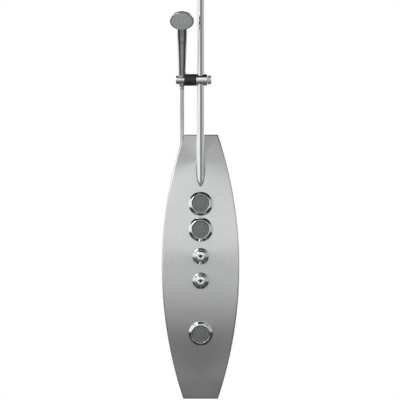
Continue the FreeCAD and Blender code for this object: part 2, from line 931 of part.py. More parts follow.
def make_jet(n, z):
    """One swivelling body jet: bezel, housing, seat ring and ball nozzle."""
    name = "jet_%d" % n
    seat_r = ball_r + loose + seat_wall
    shell_r = seat_r + loose + housing_wall
    low = -ball_half - ball_sink + 1
    high = housing_rise
    socket = ball_r + loose

    def at_ball(w):
        return root(socket * socket - (w + ball_sink) * (w + ball_sink))

    bezel = turned(
        name + "_bezel_form",
        [
            (shell_r + gap, -2),
            (jet_r, -2),
            (jet_r, 3, 9),
            (jet_r - 5.5, jet_high - 0.8, 4),
            (jet_r - 8, jet_high),
            (at_ball(jet_lip) + 1, jet_high - 2),
            (at_ball(jet_lip), jet_lip, -socket),
            (at_ball(high + loose), high + loose),
            (shell_r + gap, high + loose),
        ],
    )
    on_face(bezel, z)
    keep(cut(name + "_bezel", bezel, outer_bow))
    deep, _ = jet_port(z)
    form = turned(
        name + "_housing_form",
        [
            (seat_r + loose, high),
            (seat_r + loose, low - loose),
            (chamber_r, low - loose),
            (chamber_r, -housing_deep + chamber_wall),
            (0, -housing_deep + chamber_wall),
            (0, -housing_deep),
            (chamber_r + chamber_wall, -housing_deep),
            (chamber_r + chamber_wall, low - 3),
            (shell_r, low - 3),
            (shell_r, -sheet_gauge - gasket_thick - gap * 2 - flange_thick),
            (jet_flange_r, -sheet_gauge - gasket_thick - gap * 2 - flange_thick),
            (jet_flange_r, -sheet_gauge - gasket_thick - gap * 2),
            (shell_r, -sheet_gauge - gasket_thick - gap * 2),
            (shell_r, high),
        ],
    )
    on_face(form, z)
    boss = rod(name + "_boss", boss_r, boss_long + chamber_wall, 0, 0, 0)
    port = rod(name + "_port", feed_r - 1.5, boss_long + 30, 0, 0, 0)
    reach = chamber_r + chamber_wall + boss_long
    height = jet_port(z)[1]
    place(boss, reach - boss_long - chamber_wall + 1, -pipe_plane, height, 90, V(0, 1, 0))
    place(port, chamber_r - 4, -pipe_plane, height, 90, V(0, 1, 0))
    keep(cut(name + "_housing", fused(name + "_housing_solid", form, boss), port))
    seat = turned(
        name + "_seat_ring",
        [
            (at_ball(high - loose), high - loose),
            (at_ball(low), low, socket),
            (seat_r, low),
            (seat_r, high - loose),
        ][::-1],
    )
    keep(on_face(seat, z))
    face_r = root(ball_r * ball_r - ball_half * ball_half)
    nozzle = turned(
        name + "_nozzle",
        [
            (0, -ball_half - ball_sink),
            (face_r, -ball_half - ball_sink, ball_r),
            (face_r, ball_half - ball_sink),
            (face_r - 3, ball_half - ball_sink),
            (face_r - 4, ball_half - ball_sink - 1, -8),
            (face_r - 7, ball_half - ball_sink - 1),
            (face_r - 7.6, ball_half - ball_sink, crown_radius(face_r - 7.6, Size.of(1))),
            (0, ball_half - ball_sink + 1),
        ],
    )
    doc.recompute()
    level = ball_half - ball_sink - 1
    centre = nozzle.newObject("PartDesign::Pad", name + "_pin")
    centre.Profile = circles(new_sketch(nozzle, "XY_Plane", level), [(0, 0, pin_r * 2)])
    bind(centre, "Length", pin_high + 1.5)
    for ring, count in ((1, 6), (2, 12)):
        sketch = circles(new_sketch(nozzle, "XY_Plane", level), [(pin_circle * ring, 0, pin_r)])
        pin = nozzle.newObject("PartDesign::Pad", "%s_pin_%d" % (name, ring))
        pin.Profile = sketch
        bind(pin, "Length", pin_high + 1.5)
        pattern = nozzle.newObject("PartDesign::PolarPattern", "%s_pins_%d" % (name, ring))
        pattern.Originals = [pin]
        pattern.Axis = (sketch, ["N_Axis"])
        pattern.Angle = 360
        pattern.Occurrences = count
        nozzle.Tip = pattern
    keep(on_face(nozzle, z))
    gasket = turned(
        name + "_gasket_form",
        [
            (shell_r + gap, -sheet_gauge - gasket_thick - gap),
            (jet_flange_r, -sheet_gauge - gasket_thick - gap),
            (jet_flange_r, 2),
            (shell_r + gap, 2),
        ],
    )
    on_face(gasket, z)
    return common(name + "_gasket", gasket, inner_bow)


jet_gaskets = [make_jet(n + 1, z) for n, z in enumerate(jet_z)]
keep(group("jet_gaskets", *jet_gaskets))

# ---------------------------------------------------------------- pipes


def make_pipes():
    y = -pipe_plane
    heights = [jet_port(z)[1] for z in jet_z]
    top, foot = heights[0] + manifold_r, heights[2] - manifold_r
    run = rod("manifold_run", manifold_r, top - foot, feed_x, y, foot)
    near = chamber_r + chamber_wall + boss_long + 1 + gap
    branches = []
    for n, z in enumerate(heights):
        branches.append(rod("manifold_branch_%d" % (n + 1), feed_r, feed_x - near, near, y, z, "x"))
    inlet = barrel_r + boss_long + gap
    branches.append(rod("manifold_inlet", feed_r, feed_x - inlet, inlet, y, diverter_z, "x"))
    keep(fused("jet_manifold", run, *branches))
    start = -barrel_r - boss_long - gap
    end = -riser_r - socket_wall - boss_long - gap
    feed, _, _ = tube_along(
        "riser_feed_pipe",
        [
            point(start, y, diverter_z),
            point(-feed_x, y, diverter_z),
            point(-feed_x, y, port_z),
            point(end, y, port_z),
        ],
        feed_r,
        feed_bend.value,
    )
    keep(feed)
    back = barrel_back - mid_depth - 1 + boss_long + gap
    elbow, _, _ = tube_along(
        "hose_outlet_elbow",
        [
            point(0, back, diverter_z),
            point(0, -outlet_depth, diverter_z),
            point(outlet_x, -outlet_depth, diverter_z),
            point(outlet_x, -outlet_depth, outlet_foot),
        ],
        outlet_r,
        feed_bend.value,
    )
    keep(elbow)
    nut = hexagon(
        "outlet_nut_form",
        hose_nut_hex,
        hose_nut_long,
        outlet_x,
        -outlet_depth,
        outlet_foot - gap - hose_nut_long + 10,
    )
    bore = rod("outlet_nut_bore", outlet_r + gap, 40, outlet_x, -outlet_depth, outlet_foot - gap)
    keep(cut("hose_outlet_nut", nut, bore))
    foot = outlet_foot - gap - hose_nut_long + 10 - gap
    keep(rod("hose_outlet_ferrule", ferrule_r, ferrule_long, outlet_x, -outlet_depth, foot - ferrule_long))
    return foot - ferrule_long


hose_end_z = make_pipes()

# ---------------------------------------------------------------- slider

slide_y = -pipe_plane


def make_slider():
    """Clamp body on the riser, its bush, the clamp knob and the tilting holder."""
    body = turned(
        "slider_form",
        [
            (0, -slider_half),
            (slider_r - sleeve_wall - loose, -slider_half),
            (slider_r - sleeve_wall - loose, -sleeve_end),
            (slider_r, -sleeve_end),
            (slider_r, slider_right - 1.5 * edge),
            (slider_r - 1.5 * edge, slider_right),
            (0, slider_right),
        ],
    )
    place(body, 0, slide_y, slider_z, 90, V(0, 1, 0))
    bush_r = riser_r + gap + bush_wall
    keep(
        cut(
            "slider_body",
            body,
            rod("slider_bore", bush_r + gap, 4 * slider_r, 0, slide_y, slider_z - 2 * slider_r),
            rod("clamp_hole", clamp_screw_r + running, 30, 5, slide_y, slider_z, "x"),
            rod("tilt_pin_hole", pivot_r - 2, 20, -20 - 5, slide_y, slider_z, "x"),
        )
    )
    bush = turned(
        "slider_bush",
        [
            (riser_r + gap, -12),
            (bush_r, -12),
            (bush_r, 12),
            (riser_r + gap, 12),
        ],
    )
    keep(place(bush, 0, slide_y, slider_z))
    start = slider_right + loose
    knob = turned(
        "clamp_knob",
        [
            (0, start),
            (clamp_r - 0.8, start),
            (clamp_r, start + 0.8),
            (clamp_r, start + clamp_long - 2.5, 2.5),
            (clamp_r - 2.5, start + clamp_long),
            (0, start + clamp_long),
        ],
    )
    doc.recompute()
    groove_sketch = circles(new_sketch(knob, "XY_Plane", start), [(clamp_r + 0.9, 0, Size.of(1.5))])
    flute = knob.newObject("PartDesign::Pocket", "clamp_flute")
    flute.Profile = groove_sketch
    flute.Reversed = True
    bind(flute, "Length", clamp_long - 4)
    flutes = knob.newObject("PartDesign::PolarPattern", "clamp_flutes")
    flutes.Originals = [flute]
    flutes.Axis = (groove_sketch, ["N_Axis"])
    flutes.Angle = 360
    flutes.Occurrences = 16
    knob.Tip = flutes
    keep(place(knob, 0, slide_y, slider_z, 90, V(0, 1, 0)))
    tip = bush_r + loose
    keep(rod("clamp_screw", clamp_screw_r, start - gap - tip, tip, slide_y, slider_z, "x"))
    # pivot pin: a thin tail in the slider, a thick journal in the hub
    pin = turned(
        "tilt_pin",
        [
            (0, bush_r + 0.4),
            (pivot_r - 2 - gap, bush_r + 0.4),
            (pivot_r - 2 - gap, slider_half + gap),
            (pivot_r, slider_half + gap),
            (pivot_r, slider_half + pivot_long),
            (0, slider_half + pivot_long),
        ],
    )
    keep(place(pin, 0, slide_y, slider_z, -90, V(0, 1, 0)))
    hub_start = slider_half + loose
    hub_end = hub_start + hub_long
    hub = turned(
        "hub_form",
        [
            (pivot_r + running, hub_start),
            (slider_r - sleeve_wall, hub_start),
            (slider_r - sleeve_wall, sleeve_end + loose),
            (slider_r, sleeve_end + loose),
            (slider_r, hub_end - edge),
            (slider_r - edge, hub_end),
            (0, hub_end),
            (0, slider_half + pivot_long + gap),
            (pivot_r + running, slider_half + pivot_long + gap),
        ],
    )
    place(hub, 0, slide_y, slider_z, -90, V(0, 1, 0))
    cup = turned(
        "cup_form",
        [
            (0, hub_end + gap),
            (cup_r, hub_end + gap),
            (cup_r, cup_end - 1.5, 1.5),
            (cup_r - 1.5, cup_end),
            (0, cup_end),
        ],
    )
    place(cup, 0, slide_y, slider_z, -90, V(0, 1, 0))
    bore = doc.addObject("Part::Cone", "cup_bore")
    tall = 4 * cup_r
    bind(bore, "Height", tall)
    bind(bore, "Radius1", cup_bore_r - cup_taper * tall / 2)
    bind(bore, "Radius2", cup_bore_r + cup_taper * tall / 2)
    lean = math.radians(tilt.value)
    middle = tall.value / 2
    bore.Placement = FreeCAD.Placement(
        point(-cup_x, slide_y, slider_z) + V(0, math.sin(lean), -math.cos(lean)) * middle,
        FreeCAD.Rotation(AXIS_X, tilt.value),
    )
    # the slot lets the hose out of the cup, toward the wall
    slot = padded("cup_slot", "XY_Plane", rectangle(cup_slot, 2 * cup_r, Size.of(0)), 4 * cup_r, True)
    place(slot, -cup_x, slide_y, slider_z, tilt.value)
    keep(cut("holder_cup", cup, bore, slot))
    keep(cut("tilt_hub", hub, bore, slot))


make_slider()

# ---------------------------------------------------------------- hand shower


def on_handle(obj):
    """Put an object on the hand shower's axis, its origin at the holder's centre."""
    return place(obj, -cup_x, slide_y, slider_z, tilt.value)


def nut_radius(along):
    """The hose nut's outer radius, a loose fit in the holder's tapered bore."""
    return cup_bore_r - loose + cup_taper * along


def handle_and_neck(head_y):
    """Handle and neck in one loft: round sections up the handle, flatter ones into the head."""
    lean = math.radians(tilt.value)
    along = V(0, -math.sin(lean), math.cos(lean))
    at = point(-cup_x, slide_y, slider_z)
    up = math.radians(head_pitch.value)
    normal = V(0, -math.cos(up), -math.sin(up))
    down = V(0, math.sin(up), -math.cos(up))
    head_at = point(-cup_x, head_y, head_up)
    grow = handle_top_r - handle_foot_r
    long = handle_top - nut_top
    deep = head_rim / 2 + head_dome * 0.75
    sections = [
        (at + along * (nut_top + gap).value, along, handle_foot_r, None),
        (at + along * (nut_top + long * 0.3).value, along, handle_foot_r + grow * 0.2, None),
        (at + along * (nut_top + long * 0.65).value, along, handle_foot_r + grow * 0.64, None),
        (at + along * handle_top.value, along, handle_top_r, None),
        (
            head_at + down * (head_r * 0.88).value - normal * deep.value,
            along * 0.55 - down * 0.45,
            handle_top_r * 0.96,
            neck_thick,
        ),
        (head_at + down * (head_r * 0.42).value - normal * (deep.value - 1.3), -down, handle_top_r * 0.83, neck_thick * 0.7),
        (head_at - down * (head_r * 0.1).value - normal * (deep.value - 4.8), -down, handle_top_r * 0.46, neck_thick * 0.37),
    ]
    rings = []
    for i, (centre, direction, wide, thick) in enumerate(sections):
        ring = doc.addObject("Part::Circle" if thick is None else "Part::Ellipse", "neck_ring_%d" % (i + 1))
        if thick is None:
            bind(ring, "Radius", wide)
        else:
            bind(ring, "MajorRadius", wide)
            bind(ring, "MinorRadius", thick)
        ring.Placement = FreeCAD.Placement(centre, FreeCAD.Rotation(AXIS_Z, direction))
        rings.append(ring)
    loft = doc.addObject("Part::Loft", "handle_loft")
    loft.Sections = rings
    loft.Solid = True
    loft.Ruled = False
    return loft


def make_hand_shower():
    nut = turned(
        "hose_nut",
        [
            (0, -nut_foot),
            (nut_radius(-nut_foot) - 1, -nut_foot),
            (nut_radius(-nut_foot), -nut_foot + 1),
            (nut_radius(nut_top), nut_top),
            (0, nut_top),
        ],
    )
    keep(on_handle(nut))
    ferrule = turned(
        "hose_ferrule",
        [
            (0, -nut_foot - gap - ferrule_long),
            (ferrule_r - 0.8, -nut_foot - gap - ferrule_long),
            (ferrule_r, -nut_foot - gap - ferrule_long + 0.8),
            (ferrule_r, -nut_foot - gap),
            (0, -nut_foot - gap),
        ],
    )
    keep(on_handle(ferrule))
    # the head's own frame: Z out of the spray face, Y up along it
    pitch = 90 + head_pitch.value
    head_y = -head_out

    def on_head(obj):
        return place(obj, -cup_x, head_y, head_up, pitch)

    face = head_rim / 2
    rear = -head_rim / 2
    apex = rear - head_dome
    inner = head_r - head_wall
    dome_r = crown_radius(head_r, head_dome)
    dome = turned(
        "head_form",
        [
            (0, apex),
            (head_r, rear, dome_r),
            (head_r, face - 3 * edge),
            (0, face - 3 * edge),
        ],
    )
    on_head(dome)
    cavity = turned(
        "head_cavity",
        [
            (0, rear),
            (inner - 6, rear),
            (inner, rear + 1),
            (inner, face - 3 * edge),
            (head_r + loose, face - 3 * edge),
            (head_r + loose, face + 5),
            (0, face + 5),
        ],
    )
    on_head(cavity)
    keep(cut("handset_body", fused("handset_form", handle_and_neck(head_y), dome), cavity))
    ring = turned(
        "head_ring",
        [
            (head_r - ring_wide, face - 3 + gap),
            (head_r, face - 3 + gap),
            (head_r, face - 1.5, 1.5),
            (head_r - 1.5, face),
            (head_r - ring_wide, face),
        ],
    )
    keep(on_head(ring))
    plate_r = head_r - ring_wide - gap
    plate = turned(
        "spray_plate",
        [
            (0, face - plate_thick),
            (plate_r, face - plate_thick),
            (plate_r, face - 0.6),
            (plate_r - 5, face - 0.6),
            (plate_r - 6, face - 0.1),
            (0, face + 0.9),
        ],
    )
    doc.recompute()
    for ring_n, count in ((1, 6), (2, 12), (3, 18)):
        sketch = circles(new_sketch(plate, "XY_Plane", face - 1), [(pin_circle * 1.15 * ring_n, 0, pin_r)])
        pin = plate.newObject("PartDesign::Pad", "spray_pin_%d" % ring_n)
        pin.Profile = sketch
        bind(pin, "Length", pin_high + 1.5)
        pattern = plate.newObject("PartDesign::PolarPattern", "spray_pins_%d" % ring_n)
        pattern.Originals = [pin]
        pattern.Axis = (sketch, ["N_Axis"])
        pattern.Angle = 360
        pattern.Occurrences = count
        plate.Tip = pattern
    keep(on_head(plate))
    seal = turned(
        "head_seal",
        [
            (inner - 8, rear + gap),
            (inner - 6.2, rear + gap),
            (inner - 6.2, face - plate_thick - gap),
            (inner - 8, face - plate_thick - gap),
        ],
    )
    keep(on_head(seal))


make_hand_shower()

# ---------------------------------------------------------------- hose


def hose_route():
    """The hose's centre line: from the hand shower behind the face, a loop, the outlet."""
    lean = math.radians(tilt.value)
    along = V(0, -math.sin(lean), math.cos(lean))
    start = point(-cup_x, slide_y, slider_z) - along * (nut_foot + 2 * gap + ferrule_long).value
    behind = outlet_depth
    top = half_height
    loop = hose_loop_r
    spots = [
        (-cup_x, behind + (pipe_plane - behind) * 0.42, top + (slider_z - top) * 0.52),
        (-cup_x, end_depth - 6.5, top + (slider_z - top) * 0.206),
        (-cup_x - 0.1, end_depth - 11.2, top - 17),
        (-cup_x + 0.6, end_depth - 9.5, top - 73),
        (-hose_left - 7.4, behind - 1, hose_loop_z + loop * 8.1),
        (-hose_left - 3.6, behind + 0.4, hose_loop_z + loop * 7),
        (-hose_left - 0.9, behind - 1, hose_loop_z + loop * 5.7),
        (-hose_left + 0.4, behind + 0.2, hose_loop_z + loop * 4.35),
        (-hose_left - 1.6, behind - 0.8, hose_loop_z + loop * 3),
        (-hose_left - 6.8, behind + 0.3, hose_loop_z + loop * 1.9),
        (-hose_left - 12.9, behind - 0.4, hose_loop_z + loop * 0.95),
    ]
    route = [start] + [point(x, -y, z) for x, y, z in spots]
    for turn in range(5):
        angle = math.radians(190 + 40 * turn)
        across = hose_loop_r.value * 1.06 * math.cos(angle)
        route.append(V(across, -behind.value, hose_loop_z.value + hose_loop_r.value * 1.06 * math.sin(angle)))
    route += [
        point(hose_left + 8.5, -behind + 0.4, hose_loop_z + loop * 0.95),
        point(hose_left, -behind - 0.4, hose_loop_z + loop * 1.95),
        point(outlet_x, -behind, hose_loop_z + loop * 2.8),
    ]
    route.append(point(outlet_x, -behind, hose_end_z - loose))
    return route


hose, hose_length, hose_radii = tube_along("shower_hose", hose_route(), hose_r)
keep(hose)
for place_on_route in hose_route():
    print("(%.5f, %.5f, %.5f)," % tuple(c / 1000 for c in place_on_route))
print("hose length %.1f mm, arcs %.0f to %.0f mm" % (hose_length, min(hose_radii), max(hose_radii)))

# ---------------------------------------------------------------- write

doc.recompute()
for obj in doc.Objects:
    if "Invalid" in obj.State or "Error" in obj.State:
        raise ValueError("%s failed: %s" % (obj.Label, obj.State))
for obj in kept:
    shape = obj.Shape
    if shape.isNull() or not shape.isValid() or not shape.Solids:
        raise ValueError("%s has no sound solid" % obj.Label)

os.makedirs("parts", exist_ok=True)
for obj in kept:
    obj.Shape.exportStep("parts/%s.step" % obj.Label)
print("%d pieces written" % len(kept))
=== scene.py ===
"""Looks of a wall shower column: a bowed steel case, a riser and a hand shower.

Every length is in metres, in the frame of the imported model: X to the right,
the front toward -Y, Z up, the origin on the wall in the middle of the case.
"""

import json
import logging
import math
from dataclasses import dataclass, field
from enum import Enum

import bmesh
import bpy
import numpy as np
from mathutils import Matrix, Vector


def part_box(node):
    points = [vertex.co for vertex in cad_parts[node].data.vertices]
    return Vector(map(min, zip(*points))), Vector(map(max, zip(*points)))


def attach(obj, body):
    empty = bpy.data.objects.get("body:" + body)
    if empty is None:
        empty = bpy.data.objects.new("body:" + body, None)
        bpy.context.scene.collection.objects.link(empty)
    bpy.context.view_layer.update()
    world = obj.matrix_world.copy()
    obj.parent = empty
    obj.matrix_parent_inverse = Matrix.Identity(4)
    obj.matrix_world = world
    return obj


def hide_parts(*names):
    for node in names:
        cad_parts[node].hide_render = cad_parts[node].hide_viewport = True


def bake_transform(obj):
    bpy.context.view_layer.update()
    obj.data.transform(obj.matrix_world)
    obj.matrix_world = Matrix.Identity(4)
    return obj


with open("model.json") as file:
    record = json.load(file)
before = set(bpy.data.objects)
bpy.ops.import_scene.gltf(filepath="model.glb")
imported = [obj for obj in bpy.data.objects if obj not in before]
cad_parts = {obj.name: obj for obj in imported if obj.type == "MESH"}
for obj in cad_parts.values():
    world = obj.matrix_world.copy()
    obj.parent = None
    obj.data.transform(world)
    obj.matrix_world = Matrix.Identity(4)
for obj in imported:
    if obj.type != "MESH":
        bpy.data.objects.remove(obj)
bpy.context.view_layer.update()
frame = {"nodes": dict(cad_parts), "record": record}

log = logging.getLogger("shower_column")
Array = np.ndarray
Piece = bpy.types.Object
Tree = bpy.types.NodeTree
Socket = bpy.types.NodeSocket
Range = tuple[float, float]
Point = tuple[float, float, float]
Corners = list[tuple[float, ...]]


# ---------------------------------------------------------------- colours and nodes


def linear(code: str) -> tuple[float, float, float, float]:
    """Turn an sRGB hex value into the linear colour that Blender works in.

    Args:
        code: Six hex digits, such as "c8cac9".

    Returns:
        Red, green, blue and an alpha of 1.
    """
    levels = np.array([int(code[i : i + 2], 16) for i in (0, 2, 4)]) / 255
    light = np.where(levels <= 0.04045, levels / 12.92, ((levels + 0.055) / 1.055) ** 2.4)
    return (*map(float, light), 1.0)


def add(tree: Tree, kind: str, feed: dict | None = None, **settings: object) -> bpy.types.Node:
    """Add a node with its settings and its inputs.

    Args:
        tree: The node tree.
        kind: Blender's name of the node type.
        feed: Input name or number to a plain value, or to a socket to link from.
        **settings: Attributes of the node itself.

    Returns:
        The new node.
    """
    node = tree.nodes.new(kind)
    for name, value in settings.items():
        setattr(node, name, value)
    for key, value in (feed or {}).items():
        if isinstance(value, Socket):
            tree.links.new(value, node.inputs[key])
        else:
            node.inputs[key].default_value = value
    return node


def emptied(owner: bpy.types.Material | bpy.types.World) -> Tree:
    """Turn nodes on in a material or a world, and give its tree with no node in it."""
    owner.use_nodes = True
    owner.node_tree.nodes.clear()
    return owner.node_tree


def calc(tree: Tree, operation: str, *values: object) -> Socket:
    """Add a maths node on plain values or sockets, and give its result."""
    return add(tree, "ShaderNodeMath", dict(enumerate(values)), operation=operation).outputs[0]


def between(tree: Tree, share: Socket, first: object, second: object) -> Socket:
    """Mix two colours: the first where the share is 0, the second where it is 1."""
    feed = {"Factor": share, 6: first, 7: second}
    return add(tree, "ShaderNodeMix", feed, data_type="RGBA").outputs[2]


def rescaled(tree: Tree, value: Socket, source: Range, target: Range, **settings: object) -> Socket:
    """Carry a value from one range, (low, high), over to another, and hold it at both ends."""
    names = ("Value", "From Min", "From Max", "To Min", "To Max")
    feed = dict(zip(names, (value, *source, *target)))
    return add(tree, "ShaderNodeMapRange", feed, **settings).outputs["Result"]


def graded(tree: Tree, share: Socket, stops: list[tuple[float, tuple]]) -> Socket:
    """Give a colour for each share from 0 to 1, from stops of (share, colour), low to high."""
    ramp = add(tree, "ShaderNodeValToRGB", {"Fac": share})
    while len(ramp.color_ramp.elements) < len(stops):
        ramp.color_ramp.elements.new(0.5)
    for element, (position, colour) in zip(ramp.color_ramp.elements, stops):
        element.position = position
        element.color = colour
    return ramp.outputs["Color"]


class Slot(Enum):
    """The record's material slots."""

    STEEL = "steel"
    CHROME = "chrome"
    CHROMED_PLASTIC = "chromed_plastic"
    DARK_PLASTIC = "dark_plastic"
    GREY_NOZZLE = "grey_nozzle"
    BLACK_GLOSS = "black_gloss"
    BRASS = "brass"
    RUBBER = "rubber"
    ZINC = "zinc"
    WHITE_PLASTIC = "white_plastic"
    GREY_RUBBER = "grey_rubber"
    HOSE = "hose_metal"


# the noise values between which nearly all of a grain lies, and the weight of its finer octaves
GRAIN_RANGE, GRAIN_FINENESS = (0.3, 0.7), 0.6


@dataclass(frozen=True)
class Finish:
    """One finish: what the real material is, and how its surface was made.

    The two hex values are the darkest and the lightest of its own colour
    variation.  The grain is a noise whose spacing is a real size in metres.  It
    has its own spacing up along Z where the sheet was brushed or rolled that way.
    """

    name: str
    dark: str
    light: str
    roughness: float
    spread: float
    grain: float
    grain_up: float | None = None
    octaves: float = 3.0
    metallic: float = 0.0
    relief: float = 0.0
    brushed: float = 0.0

    def material(self) -> bpy.types.Material:
        """Build the material: colour, roughness and relief follow one grain.

        Returns:
            A new node material.
        """
        material = bpy.data.materials.new(self.name)
        tree = emptied(material)
        place = add(tree, "ShaderNodeTexCoord").outputs["Object"]
        density = (1 / self.grain, 1 / self.grain, 1 / (self.grain_up or self.grain))
        scaled = add(tree, "ShaderNodeMapping", {"Vector": place, "Scale": density}).outputs["Vector"]
        noise = {"Vector": scaled, "Scale": 1.0, "Detail": self.octaves, "Roughness": GRAIN_FINENESS}
        grain = add(tree, "ShaderNodeTexNoise", noise).outputs["Fac"]
        rough = (max(self.roughness - self.spread, 0.0), self.roughness + self.spread)
        shades = [(GRAIN_RANGE[0], linear(self.dark)), (GRAIN_RANGE[1], linear(self.light))]
        feed = {
            "Base Color": graded(tree, grain, shades),
            "Roughness": rescaled(tree, grain, GRAIN_RANGE, rough),
            "Metallic": self.metallic,
        }
        if self.brushed:
            # hair lines run up the sheet, so they spread a highlight across it
            round_z = add(tree, "ShaderNodeTangent", direction_type="RADIAL", axis="Z")
            feed |= {"Anisotropic": self.brushed, "Tangent": round_z.outputs["Tangent"]}
        if self.relief:
            bump = add(tree, "ShaderNodeBump", {"Height": grain, "Strength": 1.0, "Distance": self.relief})
            feed["Normal"] = bump.outputs["Normal"]
        shader = add(tree, "ShaderNodeBsdfPrincipled", feed)
        add(tree, "ShaderNodeOutputMaterial", {"Surface": shader.outputs["BSDF"]})
        return material


FINISHES: dict[Slot, Finish] = {
    # Stainless sheet, belt-brushed upright: hair lines 0.8 mm apart, drawn coarser
    # than the real 0.1 mm so that they show, and a wide soft highlight.
    Slot.STEEL: Finish(
        "brushed_stainless_sheet", "c6c8c7", "dcdedd", 0.32, 0.04, 0.0008,
        grain_up=0.06, octaves=5, metallic=1.0, relief=4e-6, brushed=0.7,
    ),
    # Chrome over polished brass: a clean mirror with faint wipe marks.
    Slot.CHROME: Finish("chrome_on_brass", "e2e4e5", "e8eaeb", 0.04, 0.02, 0.02, octaves=4, metallic=1.0),
    # Chrome over moulded ABS: the same mirror, a little softer.
    Slot.CHROMED_PLASTIC: Finish(
        "chromed_abs", "e0e2e4", "e7e9ea", 0.05, 0.02, 0.015, octaves=4, metallic=1.0
    ),
    # ABS moulded in a spark-eroded tool: near black, dull, pores 0.6 mm apart.
    Slot.DARK_PLASTIC: Finish("moulded_dark_abs", "232426", "303133", 0.42, 0.06, 0.0006, relief=1.5e-5),
    # Soft TPE of spray pins: mid grey, dull, slightly clouded.
    Slot.GREY_NOZZLE: Finish("moulded_grey_tpe", "7b7d7e", "8b8d8e", 0.45, 0.05, 0.003, relief=6e-6),
    # Acetal ring in a polished tool: black and glossy.
    Slot.BLACK_GLOSS: Finish("polished_black_acetal", "0c0c0d", "151516", 0.12, 0.03, 0.01),
    # Sand-cast and tumbled brass: yellow, softly pitted at 1.5 mm.
    Slot.BRASS: Finish(
        "tumbled_cast_brass", "a8894b", "c4a765", 0.36, 0.08, 0.0015, octaves=5, metallic=1.0, relief=6e-5
    ),
    # EPDM rubber: charcoal with a bloom.
    Slot.RUBBER: Finish("moulded_epdm", "161616", "222222", 0.72, 0.08, 0.002, octaves=4, relief=2e-5),
    # Silicone sleeve, moulded: light grey, dull.
    Slot.GREY_RUBBER: Finish("moulded_grey_silicone", "8f9293", "9da0a1", 0.5, 0.06, 0.003, relief=8e-6),
    # Zinc-plated and passivated strip: grey with a cloudy sheen.
    Slot.ZINC: Finish(
        "zinc_plated_strip", "9a9d9f", "bcc0c1", 0.38, 0.08, 0.012,
        grain_up=0.004, octaves=4, metallic=1.0, relief=1e-5,
    ),
    # Natural acetal, machined: milky white.
    Slot.WHITE_PLASTIC: Finish("natural_acetal", "d9d9d4", "e6e6e2", 0.35, 0.05, 0.004, relief=4e-6),
    # Silver PVC drawn over a spiral: satin, with a faint metallic lustre.
    Slot.HOSE: Finish("silver_pvc_spiral", "dfe2e3", "eaeced", 0.3, 0.05, 0.002, metallic=0.25),
}


# a piece whose finish is a lighter copy of its slot's: painted light for a piece that the studio lights dimly
LIGHTENED_FINISHES: dict[str, Finish] = {
    # Spray face of the hand shower: metal-grey lacquer on ABS, satin, lighter than the slot's grey; partly
    # its own colour, partly painted light for a face turned down into dim light.
    "spray_plate": Finish(
        "grey_lacquer_lightened_as_painted_light", "dadddf", "e4e7e8", 0.3, 0.05, 0.003, metallic=0.15, relief=4e-6
    ),
}


# ---------------------------------------------------------------- surfaces


def unit(vector: Array) -> Array:
    """Scale a vector, or each row of vectors, to a length of 1."""
    vector = np.asarray(vector, float)
    return vector / np.linalg.norm(vector, axis=-1, keepdims=True)


def turn(count: int) -> Array:
    """Angles spread evenly over a full turn, in radians."""
    return np.linspace(0, 2 * math.pi, count, endpoint=False)


def linked(name: str, data: bpy.types.ID) -> Piece:
    """Make an object of a mesh, a curve, a camera or a lamp, and link it to the scene."""
    piece = bpy.data.objects.new(name, data)
    bpy.context.scene.collection.objects.link(piece)
    return piece


@dataclass(frozen=True)
class Axis:
    """A place and a direction that a piece is turned about.

    Args:
        origin: A point on the axis, where heights are counted from.
        along: The direction in which heights grow.
        side: Where an angle of 0 points, made square to the axis.
    """

    origin: Point
    along: Point
    side: Point = (1.0, 0.0, 0.0)

    def frame(self) -> tuple[Array, Array, Array]:
        """The axis's three unit directions: side, across and along."""
        along = unit(np.array(self.along))
        side = np.array(self.side, float)
        side = unit(side - along * (side @ along))
        return side, np.cross(along, side), along

    def at(self, radius: Array, angle: Array, height: Array) -> Array:
        """Points from cylindrical places: origin + r (cos a side + sin a across) + h along.

        Args:
            radius: Distances from the axis.
            angle: Angles from the side direction, in radians.
            height: Heights along the axis.

        Returns:
            The points, with a last axis of 3.
        """
        side, across, along = self.frame()
        radius, angle, height = np.broadcast_arrays(radius, angle, height)
        return (
            np.array(self.origin)
            + (radius * np.cos(angle))[..., None] * side
            + (radius * np.sin(angle))[..., None] * across
            + height[..., None] * along
        )


def softened(corners: Corners, steps: int = 5, closed: bool = False) -> Array:
    """Round the corners of a profile with tangent arcs.

    Each corner with a radius r is replaced by an arc that starts r / tan(a / 2)
    before it and ends as far after it, where a is the angle between its runs.

    Args:
        corners: (radius, height) or (radius, height, rounding) of each corner.
        steps: Runs in each arc.
        closed: Whether the last corner joins the first.

    Returns:
        The profile's points, one row each.
    """
    spots = np.array([c[:2] for c in corners], float)
    out: list[Array] = []
    for i, corner in enumerate(corners):
        ends = not closed and i in (0, len(corners) - 1)
        if ends or len(corner) < 3:
            out.append(spots[i][None])
            continue
        here = spots[i]
        before, after = unit(spots[i - 1] - here), unit(spots[(i + 1) % len(spots)] - here)
        half = math.acos(float(np.clip(before @ after, -1, 1))) / 2
        reach = corner[2] / math.tan(half)
        start, end = here + before * reach, here + after * reach
        centre = here + unit(before + after) * corner[2] / math.sin(half)
        a, b = start - centre, end - centre
        swing = math.atan2(a[0] * b[1] - a[1] * b[0], a @ b) * np.linspace(0, 1, steps + 1)[:, None]
        out.append(centre + a * np.cos(swing) + np.array([-a[1], a[0]]) * np.sin(swing))
    return np.concatenate(out)


